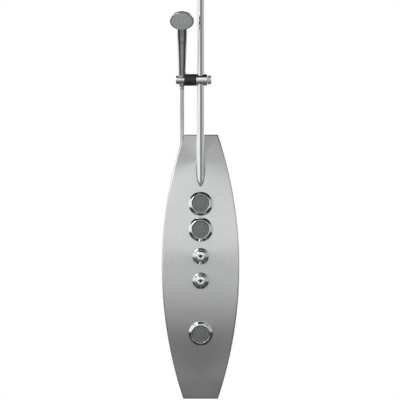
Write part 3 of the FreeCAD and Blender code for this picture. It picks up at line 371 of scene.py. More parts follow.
def supported(profile: Array, closed: bool) -> Array:
    """Add a point near both ends of every long run, so that its shading stays flat.

    Args:
        profile: The profile's points, one row each.
        closed: Whether the last point joins the first.

    Returns:
        The profile with the points added, each `reach` from the end of its run.
    """
    reach = 0.0006
    loop = np.concatenate([profile, profile[:1]]) if closed else profile
    step = np.diff(loop, axis=0)
    long = np.linalg.norm(step, axis=1)
    split = np.nonzero(long > 4 * reach)[0]
    shift = step[split] / long[split, None] * reach
    extra = np.stack([loop[split] + shift, loop[split + 1] - shift], 1).reshape(-1, 2)
    out = np.insert(loop, np.repeat(split + 1, 2), extra, axis=0)
    return out[:-1] if closed else out


def skin(name: str, rings: Array, closed: bool = False, sharp: float = 32.0) -> Piece:
    """Make a mesh object from a stack of rings, each joined to the next by quads.

    Points that fall together, such as those of a pole, are merged.

    Args:
        name: The object's name.
        rings: Grid of shape (rings, points of a ring, 3).
        closed: Whether the last ring joins the first.
        sharp: Edges that turn by more than this many degrees stay crisp.

    Returns:
        The new object, linked to the scene.
    """
    index = np.arange(rings.shape[0] * rings.shape[1]).reshape(rings.shape[:2])
    down = np.roll(index, -1, 0) if closed else index[1:]
    top = index if closed else index[:-1]
    quads = np.stack([top, np.roll(top, -1, 1), np.roll(down, -1, 1), down], -1)
    return solid(name, rings.reshape(-1, 3), quads.reshape(-1, 4), sharp)


def solid(name: str, points: Array, faces: Array, sharp: float) -> Piece:
    """Put points and faces in a mesh, merge doubles, face it outwards and smooth it.

    Args:
        name: The object's name.
        points: (n, 3) points, merged where they are within 1 micrometre.
        faces: (m, 4) point numbers.
        sharp: Edges that turn by more than this many degrees stay crisp.

    Returns:
        The new object, linked to the scene.
    """
    mesh = bpy.data.meshes.new(name)
    mesh.from_pydata(points.tolist(), [], faces.tolist())
    work = bmesh.new()
    work.from_mesh(mesh)
    bmesh.ops.remove_doubles(work, verts=work.verts, dist=1e-6)
    bmesh.ops.dissolve_degenerate(work, edges=work.edges, dist=1e-7)
    bmesh.ops.recalc_face_normals(work, faces=work.faces)
    work.to_mesh(mesh)
    work.free()
    mesh.shade_smooth()
    mesh.set_sharp_from_angle(angle=math.radians(sharp))
    return linked(name, mesh)


def turned(name: str, axis: Axis, corners: Corners, closed: bool = False, sides: int = 96) -> Piece:
    """A turned piece: a profile of (radius, height, rounding) spun about an axis.

    Args:
        name: The object's name.
        axis: What it turns about.
        corners: The profile; from axis to axis, or closed for a ring.
        closed: Whether the profile is a closed loop.
        sides: Points round the axis.

    Returns:
        The new object.
    """
    profile = supported(softened(corners, closed=closed), closed)
    points = axis.at(profile[:, :1], turn(sides)[None], profile[:, 1:])
    return skin(name, points, closed)


def capped(rings: Array, first: Array, last: Array) -> Array:
    """Close a tube's grid of rings with a pole before the first ring and after the last."""
    poles = [np.repeat(pole[None, None], rings.shape[1], 1) for pole in (first, last)]
    return np.concatenate([poles[0], rings, poles[1]])


def joined(name: str, pieces: list[Piece]) -> Piece:
    """Put several closed meshes in one object.

    Args:
        name: The new object's name.
        pieces: Their objects, which are removed.

    Returns:
        The new object.
    """
    work = bmesh.new()
    for piece in pieces:
        work.from_mesh(piece.data)
        bpy.data.objects.remove(piece)
    mesh = bpy.data.meshes.new(name)
    work.to_mesh(mesh)
    work.free()
    return linked(name, mesh)


# ---------------------------------------------------------------- dressing


@dataclass
class Wardrobe:
    """Makes each finish once and puts it on pieces."""

    made: dict[str, bpy.types.Material] = field(default_factory=dict)

    def material(self, slot: Slot, node: str = "") -> bpy.types.Material:
        """The material of a slot, or of a node with its own, built the first time it is asked for."""
        finish = LIGHTENED_FINISHES.get(node, FINISHES[slot])
        if finish.name not in self.made:
            self.made[finish.name] = finish.material()
        return self.made[finish.name]

    def dress(self, piece: Piece, slot: Slot, body: str | None, *nodes: str) -> None:
        """Give a new piece its finish, its body and the CAD nodes that it stands for.

        Args:
            piece: The new piece.
            slot: Its finish.
            body: The body that it rides on, or None for one that rides on no body.
            *nodes: CAD nodes that it replaces.
        """
        piece.data.materials.clear()
        piece.data.materials.append(self.material(slot, nodes[0] if nodes else ""))
        if body:
            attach(piece, body)
        if nodes:
            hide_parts(*nodes)
        log.info("%s rides on %s, finish %s", piece.name, body or "two bodies", slot.value)

    def carried_over(self) -> None:
        """Give every CAD node the finish of its own slot in the record."""
        wanted = {part["node"]: Slot(part["material_slot"]) for part in frame["record"]["subparts"]}
        for node, piece in frame["nodes"].items():
            piece.data.materials.clear()
            piece.data.materials.append(self.material(wanted[node]))


# ---------------------------------------------------------------- sub-assemblies


# from the wall to the riser's axis, and to the middle of the case's face
RISER_DEPTH, CASE_DEPTH = 0.0735, 0.12
SLIDER_HEIGHT = 0.5976
JET_HEIGHTS = (0.2008, 0.1192, -0.212)
KNOB_HEIGHTS = {"diverter": 0.0344, "mixer": -0.044}


@dataclass(frozen=True)
class Bow:
    """The case's bowed face: an arc in side view, straight across."""

    half_height: float = 0.423
    sag: float = 0.09

    @property
    def radius(self) -> float:
        """The arc's radius: half its chord and its sag give (h h + s s) / 2 s."""
        return (self.half_height**2 + self.sag**2) / (2 * self.sag)

    def axis(self, height: float) -> Axis:
        """The line square to the face at a height, from the face outward."""
        run = math.sqrt(self.radius**2 - height**2)
        depth = CASE_DEPTH - self.radius + run
        return Axis((0.0, -depth, height), (0.0, -run / self.radius, height / self.radius))

    def drop(self, across: Array) -> Array:
        """How far the face falls behind its tangent plane, that far up or down: t t / 2 R."""
        return across**2 / (2 * self.radius)


# a spray pin's outline from foot to hole, in shares of its radius and height
PIN_OUTLINE = np.array(
    [
        (1.45, -0.3), (1.12, 0.1), (1.0, 0.35), (0.96, 0.85), (0.78, 1.0), (0.5, 0.97), (0.42, 0.7),
        (0.4, 0.2), (0, 0.1),
    ]
)
PIN_RADIUS = 0.0013
PIN_SIDES = 12


def pins(axis: Axis, spots: Array, level: float, height: float) -> Piece:
    """Soft spray pins with a hole each, all in one mesh.

    Each pin is the outline spun about its own spot: a flared foot, a straight
    side, a rounded lip and a hole.  The grid is pins by outline by angle.

    Args:
        axis: The axis of the face that they stand on.
        spots: (n, 2) places of the pins about the axis, along its side and across.
        level: The height of the face along the axis.
        height: A pin's height over the face.

    Returns:
        The new object.
    """
    side, across, along = axis.frame()
    angle = turn(PIN_SIDES)
    ring = PIN_OUTLINE[:, :1] * PIN_RADIUS
    u = spots[:, 0, None, None] + ring * np.cos(angle)
    v = spots[:, 1, None, None] + ring * np.sin(angle)
    h = np.broadcast_to(level + PIN_OUTLINE[:, 1:] * height, u.shape)
    points = np.array(axis.origin) + u[..., None] * side + v[..., None] * across + h[..., None] * along
    index = np.arange(u.size).reshape(u.shape)
    top, down = index[:, :-1], index[:, 1:]
    quads = np.stack([top, np.roll(top, -1, 2), np.roll(down, -1, 2), down], -1)
    return solid("spray", points.reshape(-1, 3), quads.reshape(-1, 4), sharp=40)


def circle_spots(step: float, counts: tuple[int, ...]) -> Array:
    """Places on circles one step apart, and one in the middle.

    Args:
        step: The distance between circles.
        counts: How many places each circle has.

    Returns:
        (n, 2) places.
    """
    rings = [np.zeros((1, 2))]
    for number, count in enumerate(counts, 1):
        angle = turn(count)
        rings.append(number * step * np.stack([np.cos(angle), np.sin(angle)], -1))
    return np.concatenate(rings)


@dataclass
class BodyJet:
    """One swivelling jet: a chromed bezel, a black ring, and a grey ball with pins.

    Levels are counted from the case's face.  The ball's centre is sunk behind
    the face, and the ball is cut flat half_ball from its centre.  The bezel has
    a rim outside, a collar round the ring, a ledge over it and a mouth at the ball.
    """

    wardrobe: Wardrobe
    number: int
    height: float
    bow: Bow = field(default_factory=Bow)
    ball: float = 0.0285
    clear: float = 0.0003
    half_ball: float = 0.012
    sink: float = 0.002
    face: float = 0.01
    rim: float = 0.039
    collar: float = 0.0333
    ledge: float = 0.0053
    mouth: float = 0.0085

    def build(self) -> None:
        """Build and dress the bezel, the ring and the nozzle."""
        axis = self.bow.axis(self.height)
        name, wear = f"jet_{self.number}", self.wardrobe.dress
        wear(self.bezel(axis), Slot.CHROMED_PLASTIC, "column", f"{name}_bezel")
        wear(self.ring(axis), Slot.BLACK_GLOSS, f"{name}_seat", f"{name}_seat_ring")
        wear(self.nozzle(axis), Slot.GREY_NOZZLE, f"{name}_ball", f"{name}_nozzle")

    def on_ball(self, level: float) -> float:
        """The radius of the ball's socket at a level."""
        return math.sqrt((self.ball + self.clear) ** 2 - (level + self.sink) ** 2)

    def bezel(self, axis: Axis) -> Piece:
        """A rounded collar whose foot is cut to the bow.

        A closed profile is spun about the axis, and each point of the foot then
        sinks by the face's own fall, t t / 2 R, where t is how far up or down it is.
        """
        mouth = self.on_ball(self.mouth)
        corners = [
            (self.collar, self.ledge), (self.collar, 0.0), (self.rim, 0.0), (self.rim, 0.0057, 0.0022),
            (0.0316, 0.0117, 0.014), (0.0288, 0.0129, 0.0014), (mouth + 0.0004, 0.0105, 0.0006),
            (mouth, self.mouth), (self.on_ball(self.ledge), self.ledge),
        ]
        profile = supported(softened(corners, closed=True), True)
        angle = turn(128)
        radius, level = profile[:, :1], profile[:, 1:]
        in_foot = level < 0.001
        fall = np.where(in_foot, self.bow.drop(radius * np.sin(angle)), 0.0)
        points = axis.at(radius, angle[None], level - fall)
        return skin(f"jet_{self.number}_bezel_chromed", points, closed=True)

    def ring(self, axis: Axis) -> Piece:
        """The ring round the ball: its inside is the ball's own sphere, a loose fit."""
        low, high = -0.013, 0.0047
        outside = self.collar - 0.0024
        inside = [(self.on_ball(level), level) for level in np.linspace(low, high, 9)]
        corners = [*inside, (outside, high, 0.0004), (outside, low)]
        return turned(f"jet_{self.number}_ring_black", axis, corners, closed=True)

    def nozzle(self, axis: Axis) -> Piece:
        """The ball, cut flat in front and behind, with a dished face and nineteen pins."""
        edge = math.sqrt(self.ball**2 - self.half_ball**2)
        back, face = -self.half_ball - self.sink, self.face
        levels = np.linspace(-self.half_ball, 0.0105, 14)[1:]
        sphere = [(math.sqrt(self.ball**2 - level * level), level - self.sink) for level in levels]
        corners = [
            (0.0, back), (edge, back), *sphere, (edge - 0.0018, face, 0.0012), (edge - 0.0033, face, 0.0008),
            (edge - 0.0047, face - 0.0012, 0.001), (edge - 0.0068, face - 0.0009, 0.002),
            (0.0115, face + 0.0006, 0.03), (0.0, face + 0.001),
        ]
        ball = turned("ball", axis, corners)
        spray = pins(axis, circle_spots(0.008, (6, 12)), face + 0.0002, 0.0017)
        return joined(f"jet_{self.number}_ball_grey", [ball, spray])


@dataclass
class Knob:
    """A chromed knob with a skirt, a tapered grip and a small dark cap.

    Levels are counted from the case's face.  Inside are the spindle's bore, a
    hollow that clears the locknut and, in the nose, a recess for the cap.
    """

    wardrobe: Wardrobe
    name: str
    height: float
    skirt: float = 0.0265
    grip: float = 0.0215
    long: float = 0.049
    gap: float = 0.0015
    bore: float = 0.0041
    bore_end: float = 0.0362
    hollow: float = 0.0241
    hollow_end: float = 0.0125
    recess: float = 0.0052

    def build(self) -> None:
        """Build and dress the knob and its cap."""
        axis = Axis((0.0, -CASE_DEPTH, self.height), (0.0, -1.0, 0.0))
        body, wear = f"{self.name}_control", self.wardrobe.dress
        wear(self.body(axis), Slot.CHROMED_PLASTIC, body, f"{self.name}_knob")
        wear(self.cap(axis), Slot.DARK_PLASTIC, body, f"{self.name}_knob_cap")

    def body(self, axis: Axis) -> Piece:
        """The knob: a rounded skirt, a cove, a tapered grip, a domed nose."""
        nose = self.long - 0.003
        corners = [
            (0.0, self.bore_end), (self.bore, self.bore_end), (self.bore, self.hollow_end),
            (self.hollow - 0.002, self.hollow_end), (self.hollow, self.hollow_end - 0.002),
            (self.hollow, self.gap), (self.skirt, self.gap, 0.0006), (self.skirt, 0.0118, 0.0042),
            (self.grip + 0.0002, 0.0148, 0.0016), (self.grip - 0.0013, 0.033, 0.03),
            (self.grip - 0.0022, self.long - 0.0006, 0.0105), (self.recess, self.long + 0.0002, 0.0004),
            (self.recess, nose), (0.0, nose),
        ]
        return turned(f"{self.name}_knob_chromed", axis, corners, sides=112)

    def cap(self, axis: Axis) -> Piece:
        """The dark cap: a disc with a low crown in the knob's nose."""
        edge, foot = self.recess - 0.0003, self.long - 0.0029
        corners = [
            (0.0, foot), (edge, foot), (edge, self.long + 0.0001, 0.0006),
            (0.0025, self.long + 0.0005, 0.004), (0.0, self.long + 0.00055),
        ]
        return turned(f"{self.name}_cap_dark", axis, corners, sides=48)


@dataclass
class Riser:
    """The chromed riser and its end cap."""

    wardrobe: Wardrobe
    radius: float = 0.0125
    wall: float = 0.0015
    sides: int = 128

    def build(self) -> None:
        """Build and dress the tube and the cap."""
        axis = Axis((0.0, -RISER_DEPTH, 0.0), (0.0, 0.0, 1.0))
        inside = self.radius - self.wall
        low, high = (corner[2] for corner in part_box("riser_tube"))
        corners = [(inside, low), (self.radius, low), (self.radius, high, 0.0003), (inside, high)]
        tube = turned("riser_chromed", axis, corners, closed=True, sides=self.sides)
        self.wardrobe.dress(tube, Slot.CHROME, "column", "riser_tube")
        foot, top = (corner[2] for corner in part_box("riser_end_cap"))
        plug, seat = inside - 0.0004, high + 0.0001
        corners = [
            (0.0, foot), (plug, foot, 0.001), (plug, seat), (self.radius, seat, 0.0002),
            (self.radius, top, 0.0012), (0.0, top),
        ]
        cap = turned("riser_cap_chromed", axis, corners, sides=self.sides)
        self.wardrobe.dress(cap, Slot.CHROMED_PLASTIC, "column", "riser_end_cap")


@dataclass
class ClampKnob:
    """The fluted clamp knob at the slider's right end."""

    wardrobe: Wardrobe
    start: float = 0.0223
    long: float = 0.012
    radius: float = 0.0145
    flutes: int = 16
    flute_depth: float = 0.0009
    flute_end: float = 0.0094
    flute_fade: float = 0.0025

    def build(self) -> None:
        """Build the knob: a rounded disc whose radius dips in smooth flutes.

        The radius at an angle a is r - d w (0.5 + 0.5 cos n a)^4, where n is the
        number of flutes, d their depth, and w fades to 0 at the outer end.
        """
        axis = Axis((self.start, -RISER_DEPTH, SLIDER_HEIGHT), (1.0, 0.0, 0.0), (0.0, 1.0, 0.0))
        rings = [(self.radius, level) for level in np.linspace(0.0014, 0.0092, 10)]
        foot = [(0.0, 0.0), (self.radius, 0.0, 0.0008)]
        profile = softened([*foot, *rings, (self.radius, self.long, 0.0026), (0.0, self.long)], steps=8)
        angle = turn(24 * self.flutes)
        radius, level = profile[:, :1], profile[:, 1:]
        on_rim = radius > self.radius * 0.9
        reach = np.clip((self.flute_end - level) / self.flute_fade, 0, 1) * on_rim
        dip = self.flute_depth * reach * (0.5 + 0.5 * np.cos(self.flutes * angle)) ** 4
        points = axis.at(radius - dip, angle[None], level)
        piece = skin("clamp_knob_chromed", points, sharp=40)
        self.wardrobe.dress(piece, Slot.CHROMED_PLASTIC, "clamp", "clamp_knob")


@dataclass
class HandShower:
    """The hand shower: handle and neck in one sweep, a domed head, ring, plate and nut."""

    wardrobe: Wardrobe
    pivot: Point = (-0.0595, -RISER_DEPTH, SLIDER_HEIGHT)
    tilt: float = 18.0
    head: Point = (-0.0595, -0.165, 0.785)
    pitch: float = 46.0
    head_radius: float = 0.0385
    nut_foot: float = -0.018
    nut_top: float = 0.02
    sides: int = 144

    def handle_axis(self) -> Axis:
        """The handle's axis, leaning forward from the holder."""
        lean = math.radians(self.tilt)
        return Axis(self.pivot, (0.0, -math.sin(lean), math.cos(lean)))

    def head_axis(self) -> Axis:
        """The head's axis, out of the spray face."""
        pitch = math.radians(self.pitch)
        return Axis(self.head, (0.0, -math.cos(pitch), -math.sin(pitch)))

    def build(self) -> None:
        """Build and dress every piece of the hand shower."""
        wear = self.wardrobe.dress
        wear(self.body(), Slot.CHROMED_PLASTIC, "hand_shower", "handset_body")
        head = self.head_axis()
        edge, lip = self.head_radius, self.head_radius - 0.004
        corners = [
            (lip, 0.0016), (edge, 0.0016, 0.0002), (edge, 0.0045, 0.0017), (edge - 0.0022, 0.0046, 0.0012),
            (lip, 0.0039, 0.0003),
        ]
        ring = turned("head_ring_chromed", head, corners, closed=True, sides=self.sides)
        wear(ring, Slot.CHROMED_PLASTIC, "hand_shower", "head_ring")
        # the spray plate gets the lighter copy of this slot's grey: painted light on a face turned down
        wear(self.plate(head), Slot.GREY_NOZZLE, "hand_shower", "spray_plate")
        wear(self.nut(), Slot.CHROME, "hand_shower", "hose_nut")
        wear(self.ferrule(), Slot.CHROME, "hand_shower", "hose_ferrule")

    def body(self) -> Piece:
        """Handle, neck and domed back.

        Each section is an ellipse square to its own direction, centre
        + a cos t X + b sin t (X x direction).  Centres, directions and half
        widths run through the stations on cubic curves (Catmull-Rom).
        """
        head = self.head_axis()
        along, out = self.handle_axis().frame()[2], head.frame()[2]
        pitch = math.radians(self.pitch)
        down = np.array([0.0, math.sin(pitch), -math.cos(pitch)])
        at, middle = np.array(self.pivot), np.array(self.head)
        grip = [(0.0202, 0.0128), (0.035, 0.0131), (0.059, 0.0139), (0.082, 0.0148), (0.1045, 0.0159)]
        stations = [(at + along * far, along, wide, wide) for far, wide in grip]
        stations += [
            (at + along * 0.128, along, 0.0169, 0.0163),
            (at + along * 0.15, along, 0.0175, 0.0148),
            (middle + down * 0.0339 - out * 0.01425, along * 0.55 - down * 0.45, 0.0168, 0.0134),
            (middle + down * 0.0162 - out * 0.01295, -down, 0.0145, 0.008),
            (middle - down * 0.0039 - out * 0.00945, -down, 0.008, 0.0044),
        ]
        rows = np.array([[*centre, *unit(way), wide, thick] for centre, way, wide, thick in stations])
        padded = np.concatenate([2 * rows[:1] - rows[1:2], rows, 2 * rows[-1:] - rows[-2:-1]])
        # a hair short of the last station, so that every place has two stations on each side
        t = np.linspace(0, len(rows) - 1 - 1e-9, 150)
        k = t.astype(int)
        f = (t - k)[:, None]
        p0, p1, p2, p3 = (padded[k + i] for i in range(4))
        linear_part = 2 * p1 + (p2 - p0) * f
        square_part = (2 * p0 - 5 * p1 + 4 * p2 - p3) * f**2
        cubic_part = (3 * p1 - p0 - 3 * p2 + p3) * f**3
        run = 0.5 * (linear_part + square_part + cubic_part)
        x_way = np.array([1.0, 0.0, 0.0])
        across = unit(np.cross(unit(run[:, 3:6]), x_way))
        angle = turn(96)
        points = (
            run[:, None, :3]
            + (run[:, 6:7] * np.cos(angle))[..., None] * x_way
            + (run[:, 7:8] * np.sin(angle))[..., None] * across[:, None]
        )
        neck = skin("neck", capped(points, points[0].mean(0), points[-1].mean(0)))
        edge = self.head_radius
        corners = [
            (0.0, -0.0175), (0.0125, -0.0167, 0.03), (0.0262, -0.0126, 0.03), (0.0345, -0.0078, 0.02),
            (edge, -0.0038, 0.004), (edge, 0.0015, 0.0003), (edge - 0.002, 0.0015), (edge - 0.002, -0.0035),
            (edge - 0.008, -0.0045), (0.0, -0.0045),
        ]
        dome = turned("dome", head, corners, sides=self.sides)
        return joined("hand_shower_chromed", [neck, dome])

    def plate(self, head: Axis) -> Piece:
        """The grey spray plate: a shallow crown with a groove and rings of pins."""
        edge = self.head_radius - 0.0041
        corners = [
            (0.0, 0.0015), (edge, 0.0015), (edge, 0.004, 0.0004), (edge - 0.0035, 0.0041, 0.0008),
            (edge - 0.0046, 0.0032, 0.0006), (edge - 0.006, 0.0043, 0.0008), (0.016, 0.0051, 0.05),
            (0.0, 0.0054),
        ]
        disc = turned("plate", head, corners, sides=self.sides)
        spray = pins(head, circle_spots(0.0092, (6, 12, 18)), 0.0045, 0.002)
        return joined("spray_plate_grey", [disc, spray])

    def nut(self) -> Piece:
        """The tapered hose nut: a cone with a rounded foot and a shallow groove at its top."""
        foot, end = self.nut_foot, self.nut_top - 0.0001
        groove_foot, groove_top, groove_deep = 0.013, 0.0148, 0.0004

        def wide(height: float) -> float:
            """The cone's radius at a height."""
            return 0.0114 + 0.066 * height

        corners = [
            (0.0, foot), (wide(foot), foot, 0.0016), (wide(groove_foot), groove_foot),
            (wide(groove_foot) - groove_deep, 0.0135), (wide(0.0142) - groove_deep, 0.0142),
            (wide(groove_top), groove_top), (wide(self.nut_top), end, 0.0004), (0.0, end),
        ]
        return turned("hose_nut_chromed", self.handle_axis(), corners)

    def ferrule(self) -> Piece:
        """The crimped ferrule: a sleeve with two pressed grooves."""
        top = self.nut_foot - 0.0001
        foot = top - 0.012
        r = 0.0086
        pressed = r - 0.0004
        corners = [(0.0, foot), (r - 0.0008, foot, 0.0004), (r, foot + 0.001, 0.0006)]
        for start in (foot + 0.0028, foot + 0.0068):
            corners += [
                (r, start, 0.0003), (pressed, start + 0.0006, 0.0004), (pressed, start + 0.0014, 0.0004),
                (r, start + 0.002, 0.0003),
            ]
        corners += [(r, top, 0.0003), (0.0, top)]
        return turned("hose_ferrule_chromed", self.handle_axis(), corners)


# ---------------------------------------------------------------- hose


@dataclass
class Hose:
    """The shower hose: a spiral-wound tube on one smooth line, in three lengths.

    The first two lengths are upper_length and middle_length long, and the third runs on to the case.
    """

    wardrobe: Wardrobe
    radius: float = 0.007
    pitch: float = 0.0034
    crown: float = 0.0002
    sides: int = 22
    upper_length: float = 0.086
    middle_length: float = 0.088
    tilt_reach: float = 0.142
    route: tuple[Point, ...] = (
        (-0.0595, -0.06417, 0.56888), (-0.0595, -0.04537, 0.51379), (-0.0595, -0.0235, 0.45897),
        (-0.0596, -0.0188, 0.406), (-0.0589, -0.0205, 0.35), (-0.0574, -0.024, 0.2896),
        (-0.0536, -0.0254, 0.217), (-0.0509, -0.024, 0.1312), (-0.0496, -0.0252, 0.0421),
        (-0.0516, -0.0242, -0.047), (-0.0568, -0.0253, -0.1196), (-0.0629, -0.0246, -0.1823),
        (-0.0689, -0.025, -0.25715), (-0.04497, -0.025, -0.29859), (0.0, -0.025, -0.31496),
        (0.04497, -0.025, -0.29859), (0.0689, -0.025, -0.25715), (0.0585, -0.0246, -0.1823),
        (0.05, -0.0254, -0.1163), (0.04, -0.025, -0.0602), (0.04, -0.025, -0.0145),
    )

    def line(self) -> Array:
        """The hose's centreline, read from a NURBS spline that its route steers.

        Returns:
            Points a winding's fifth apart, one row each.
        """
        curve = bpy.data.curves.new("hose_line", "CURVE")
        curve.dimensions = "3D"
        curve.resolution_u = 24
        spline = curve.splines.new("NURBS")
        spline.points.add(len(self.route) - 1)
        spline.points.foreach_set("co", [value for spot in self.route for value in (*spot, 1.0)])
        spline.order_u, spline.use_endpoint_u = 3, True
        holder = linked("hose_line", curve)
        mesh = bpy.data.meshes.new_from_object(holder)
        points = np.array([vertex.co for vertex in mesh.vertices])
        bpy.data.objects.remove(holder)
        bpy.data.curves.remove(curve)
        bpy.data.meshes.remove(mesh)
        run = np.concatenate([[0], np.cumsum(np.linalg.norm(np.diff(points, axis=0), axis=1))])
        even = np.linspace(0, run[-1], int(run[-1] / (self.pitch / 5)) + 1)
        return np.stack([np.interp(even, run, points[:, k]) for k in range(3)], -1)

    def build(self) -> None:
        line = self.line()
        step = float(np.linalg.norm(np.diff(line, axis=0), axis=1).mean())
        first = round(self.upper_length / step)
        second = first + round(self.middle_length / step)
        # a point on the line just above the case, short of the middle length's foot
        still = round(self.tilt_reach / step)
        # two points at the case's middle, one to the right and one to the left, by the loop's runs
        stays, rides = (0.05, 0.0, 0.0), (-0.05, 0.0, 0.0)
        top_fittings = ["hose_nut_chromed", "hose_ferrule_chromed"]
        outlet_fittings = [frame["nodes"][node] for node in ("hose_outlet_nut", "hose_outlet_ferrule")]
        spans = [
            ("upper", 0, first, "holder", "hand_shower", line[first], line[0], top_fittings),
            ("middle", first, second, "slider", "holder", line[still], line[first], []),
            ("lower", second, len(line) - 1, "column", "slider", stays, rides, outlet_fittings),
        ]
        for name, low, high, lower_body, upper_body, start, end, fittings in spans:
            piece = self.length(f"shower_hose_{name}", line, slice(low, high + 1), step)
            start, end = tuple(map(float, start)), tuple(map(float, end))
            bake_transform(piece)

    def length(self, name: str, line: Array, span: slice, step: float) -> Piece:
        """One length of the hose, its winding running on from the one before.

        The radius at a distance s along the line and an angle a about it is
        r - c + c cos(2 pi s / pitch - a), one start of a helix, with c the crown.

        Args:
            name: The piece's name.
            line: The whole centreline.
            span: The rows of it that this length covers.
            step: The distance between rows.

        Returns:
            The piece.
        """
        along = unit(np.gradient(line, axis=0))
        side = np.tile([0.0, 1.0, 0.0], (len(line), 1))
        side = unit(side - along * np.sum(side * along, 1, keepdims=True))
        across = np.cross(along, side)
        angle = turn(self.sides)
        phase = 2 * math.pi * np.arange(len(line))[:, None] * step / self.pitch - angle
        radius = self.radius - self.crown + self.crown * np.cos(phase)
        rings = (
            line[:, None]
            + (radius * np.cos(angle))[..., None] * side[:, None]
            + (radius * np.sin(angle))[..., None] * across[:, None]
        )[span]
        path = line[span]
        piece = skin(name, capped(rings, path[0], path[-1]), sharp=60)
        self.wardrobe.dress(piece, Slot.HOSE, None, "shower_hose")
        return piece


# ---------------------------------------------------------------- studio


# brightness by elevation in degrees: straight ahead, to the left and to the right
FRONT = [
    (-90, 0.42), (-85, 0.3), (-79, 0.05), (-54, 0.04), (-47, 0.38), (-38, 0.27), (-28, 0.19), (-21, 0.36),
    (-15, 0.56), (-8, 0.68), (-2, 0.95), (8, 1.05), (28, 0.95), (40, 0.74), (47, 0.5), (52, 0.04), (90, 0.02),
]
LEFT = [
    (-90, 0.1), (-40, 0.1), (-31, 0.08), (-25, 0.05), (-10, 0.05), (-5, 0.6), (0, 1.04), (28, 1.1), (37, 0.5),
    (44, 0.03), (90, 0.02),
]
RIGHT = [
    (-90, 0.08), (-40, 0.07), (-31, 0.06), (-25, 0.05), (-10, 0.05), (-5, 0.4), (0, 0.54), (28, 0.5),
    (37, 0.22), (44, 0.03), (90, 0.02),
]
# how far sideways a direction points, as a sine: still straight ahead, and fully to one side
AHEAD, ASIDE = 0.34, 0.72
# a grey gap between two screens: both edges as sines, half the blur of an edge, and the grey
GAP_X, GAP_BLUR_X = (-0.3, 0.67), 0.02
GAP_Z, GAP_BLUR_Z = (-0.02, 0.05), 0.01
GAP_GREY = (0.28, 0.28, 0.28, 1.0)
# the white backdrop in the mirrors: its skew to the right, and where it is full and where it ends
BACKDROP_SKEW, BACKDROP_DEPTH, BACKDROP_HEIGHT = -0.13, (0.22, 0.08), (0.42, 0.58)
WHITE = (1.0, 1.0, 1.0, 1.0)


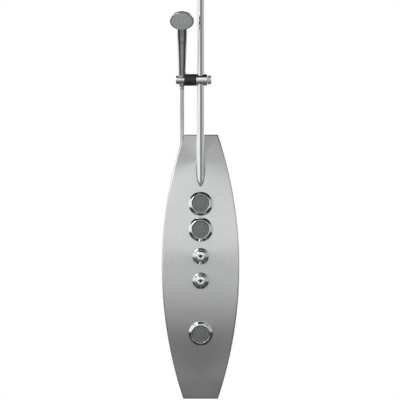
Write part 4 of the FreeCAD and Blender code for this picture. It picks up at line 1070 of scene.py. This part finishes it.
@dataclass
class Studio:
    """The camera, the pale floor, the world and one soft lamp."""

    middle: Point = (-0.0019, -0.05, 0.2136)
    field_of_view: float = 1.28
    distance: float = 24.0
    sensor: float = 36.0
    floor_height: float = -1.05
    floor_radius: float = 1.7
    floor_fade: Range = (1.1, 1.95)
    floor_glow: Range = (0.35, 1.0)
    lamp_place: Point = (-1.1, -1.15, 1.6)
    lamp_size: Range = (0.9, 0.8)
    lamp_power: float = 6.0

    def camera(self) -> None:
        """A long lens, straight from the front, that takes in 1.28 m."""
        lens = bpy.data.cameras.new("camera")
        lens.sensor_width = self.sensor
        lens.lens = self.sensor * self.distance / self.field_of_view
        lens.clip_end = 2.5 * self.distance
        camera = linked("camera", lens)
        camera.location = (self.middle[0], self.middle[1] - self.distance, self.middle[2])
        camera.rotation_euler = (math.pi / 2, 0.0, 0.0)
        bpy.context.scene.camera = camera

    @staticmethod
    def by_height(tree: Tree, level: Socket, stops: list[Range]) -> Socket:
        """A brightness that changes with the height of a direction.

        Args:
            tree: The world's node tree.
            level: The direction's Z, from -1 to 1.
            stops: (elevation in degrees, brightness) from low to high.

        Returns:
            The colour socket.
        """
        share = rescaled(tree, level, (-1.0, 1.0), (0.0, 1.0))
        greys = [
            ((math.sin(math.radians(angle)) + 1) / 2, (value, value, value, 1.0)) for angle, value in stops
        ]
        return graded(tree, share, greys)

    @staticmethod
    def within(tree: Tree, value: Socket, full: float, none: float) -> Socket:
        """1 where a value is past full, 0 where it is past none, and a smooth step between."""
        return rescaled(tree, value, (none, full), (0.0, 1.0), interpolation_type="SMOOTHSTEP")

    def world(self) -> None:
        """White behind the object, and a studio in front of it.

        The studio has a broad bright band at eye height, brighter on the left,
        a dark ceiling, a grey floor in front, dark sides below the band and a
        narrow grey gap between two screens at the height of the lens.
        """
        world = bpy.data.worlds.new("studio")
        bpy.context.scene.world = world
        tree = emptied(world)
        place = add(tree, "ShaderNodeTexCoord")
        x, y, z = add(tree, "ShaderNodeSeparateXYZ", {"Vector": place.outputs["Generated"]}).outputs
        front, left, right = (self.by_height(tree, z, stops) for stops in (FRONT, LEFT, RIGHT))
        light = between(tree, self.within(tree, x, -ASIDE, -AHEAD), front, left)
        light = between(tree, self.within(tree, x, ASIDE, AHEAD), light, right)
        gap = 1.0
        for value, edges, blur in ((x, GAP_X, GAP_BLUR_X), (z, GAP_Z, GAP_BLUR_Z)):
            for edge, inward in zip(edges, (blur, -blur)):
                gap = calc(tree, "MULTIPLY", gap, self.within(tree, value, edge + inward, edge - inward))
        light = between(tree, gap, light, GAP_GREY)
        # the camera sees white, and so do mirrored rays that leave backwards at a low angle
        paths = add(tree, "ShaderNodeLightPath").outputs
        depth = calc(tree, "MULTIPLY_ADD", x, BACKDROP_SKEW, y)
        behind = self.within(tree, depth, *BACKDROP_DEPTH)
        low = self.within(tree, calc(tree, "ABSOLUTE", z), *BACKDROP_HEIGHT)
        mirrored = calc(tree, "MAXIMUM", paths["Is Glossy Ray"], paths["Is Transmission Ray"])
        seen = calc(tree, "MULTIPLY", mirrored, calc(tree, "MULTIPLY", behind, low))
        white = calc(tree, "MAXIMUM", paths["Is Camera Ray"], seen)
        room = add(tree, "ShaderNodeBackground", {"Color": light, "Strength": 1.0})
        paper = add(tree, "ShaderNodeBackground", {"Color": WHITE, "Strength": 1.0})
        both = add(tree, "ShaderNodeMixShader", {0: white, 1: room.outputs[0], 2: paper.outputs[0]})
        add(tree, "ShaderNodeOutputWorld", {"Surface": both.outputs[0]})

    def floor(self) -> None:
        """A pale round floor that fades into the white background."""
        angle = turn(128)
        radius = np.array([0.0, self.floor_radius])[:, None]
        level = np.full((2, len(angle)), self.floor_height)
        floor = skin("floor", np.stack([radius * np.cos(angle), radius * np.sin(angle), level], -1))
        if floor.data.polygons[0].normal.z < 0:
            floor.data.flip_normals()
        material = bpy.data.materials.new("painted_floor")
        tree = emptied(material)
        place = add(tree, "ShaderNodeTexCoord")
        length = add(tree, "ShaderNodeVectorMath", {0: place.outputs["Object"]}, operation="LENGTH")
        fade = rescaled(tree, length.outputs["Value"], self.floor_fade, self.floor_glow)
        paths = add(tree, "ShaderNodeLightPath")
        share = calc(tree, "MULTIPLY", fade, paths.outputs["Is Camera Ray"])
        paint = add(tree, "ShaderNodeBsdfDiffuse", {"Color": linear("dcdcdc")})
        glow = add(tree, "ShaderNodeEmission", {"Color": WHITE, "Strength": 1.0})
        both = add(tree, "ShaderNodeMixShader", {0: share, 1: paint.outputs[0], 2: glow.outputs[0]})
        add(tree, "ShaderNodeOutputMaterial", {"Surface": both.outputs[0]})
        floor.data.materials.append(material)
        # mirrors see the world's own grey floor instead
        floor.visible_glossy = False

    def lamp(self) -> None:
        """A soft rectangular lamp that faces the middle of the object."""
        light = bpy.data.lights.new("key_lamp", "AREA")
        light.shape = "RECTANGLE"
        light.size, light.size_y = self.lamp_size
        light.energy = self.lamp_power
        lamp = linked("key_lamp", light)
        lamp.location = self.lamp_place
        aim = unit(np.subtract(self.middle, self.lamp_place))
        lamp.rotation_euler = (math.acos(-aim[2]), 0.0, math.atan2(aim[1], aim[0]) - math.pi / 2)

    def build(self) -> None:
        """Set up the view, the world, the floor and the lamp."""
        bpy.context.scene.view_settings.view_transform = "Standard"
        self.camera()
        self.world()
        self.floor()
        self.lamp()


def main() -> None:
    """Build the looks piece by piece."""
    logging.basicConfig(level=logging.INFO, format="%(name)s: %(message)s")
    wardrobe = Wardrobe()
    Studio().build()
    HandShower(wardrobe).build()
    Hose(wardrobe).build()
    wardrobe.carried_over()
    Riser(wardrobe).build()
    for number, height in enumerate(JET_HEIGHTS, 1):
        BodyJet(wardrobe, number, height).build()
    for name, height in KNOB_HEIGHTS.items():
        Knob(wardrobe, name, height).build()
    ClampKnob(wardrobe).build()


if __name__ == "__main__":
    main()
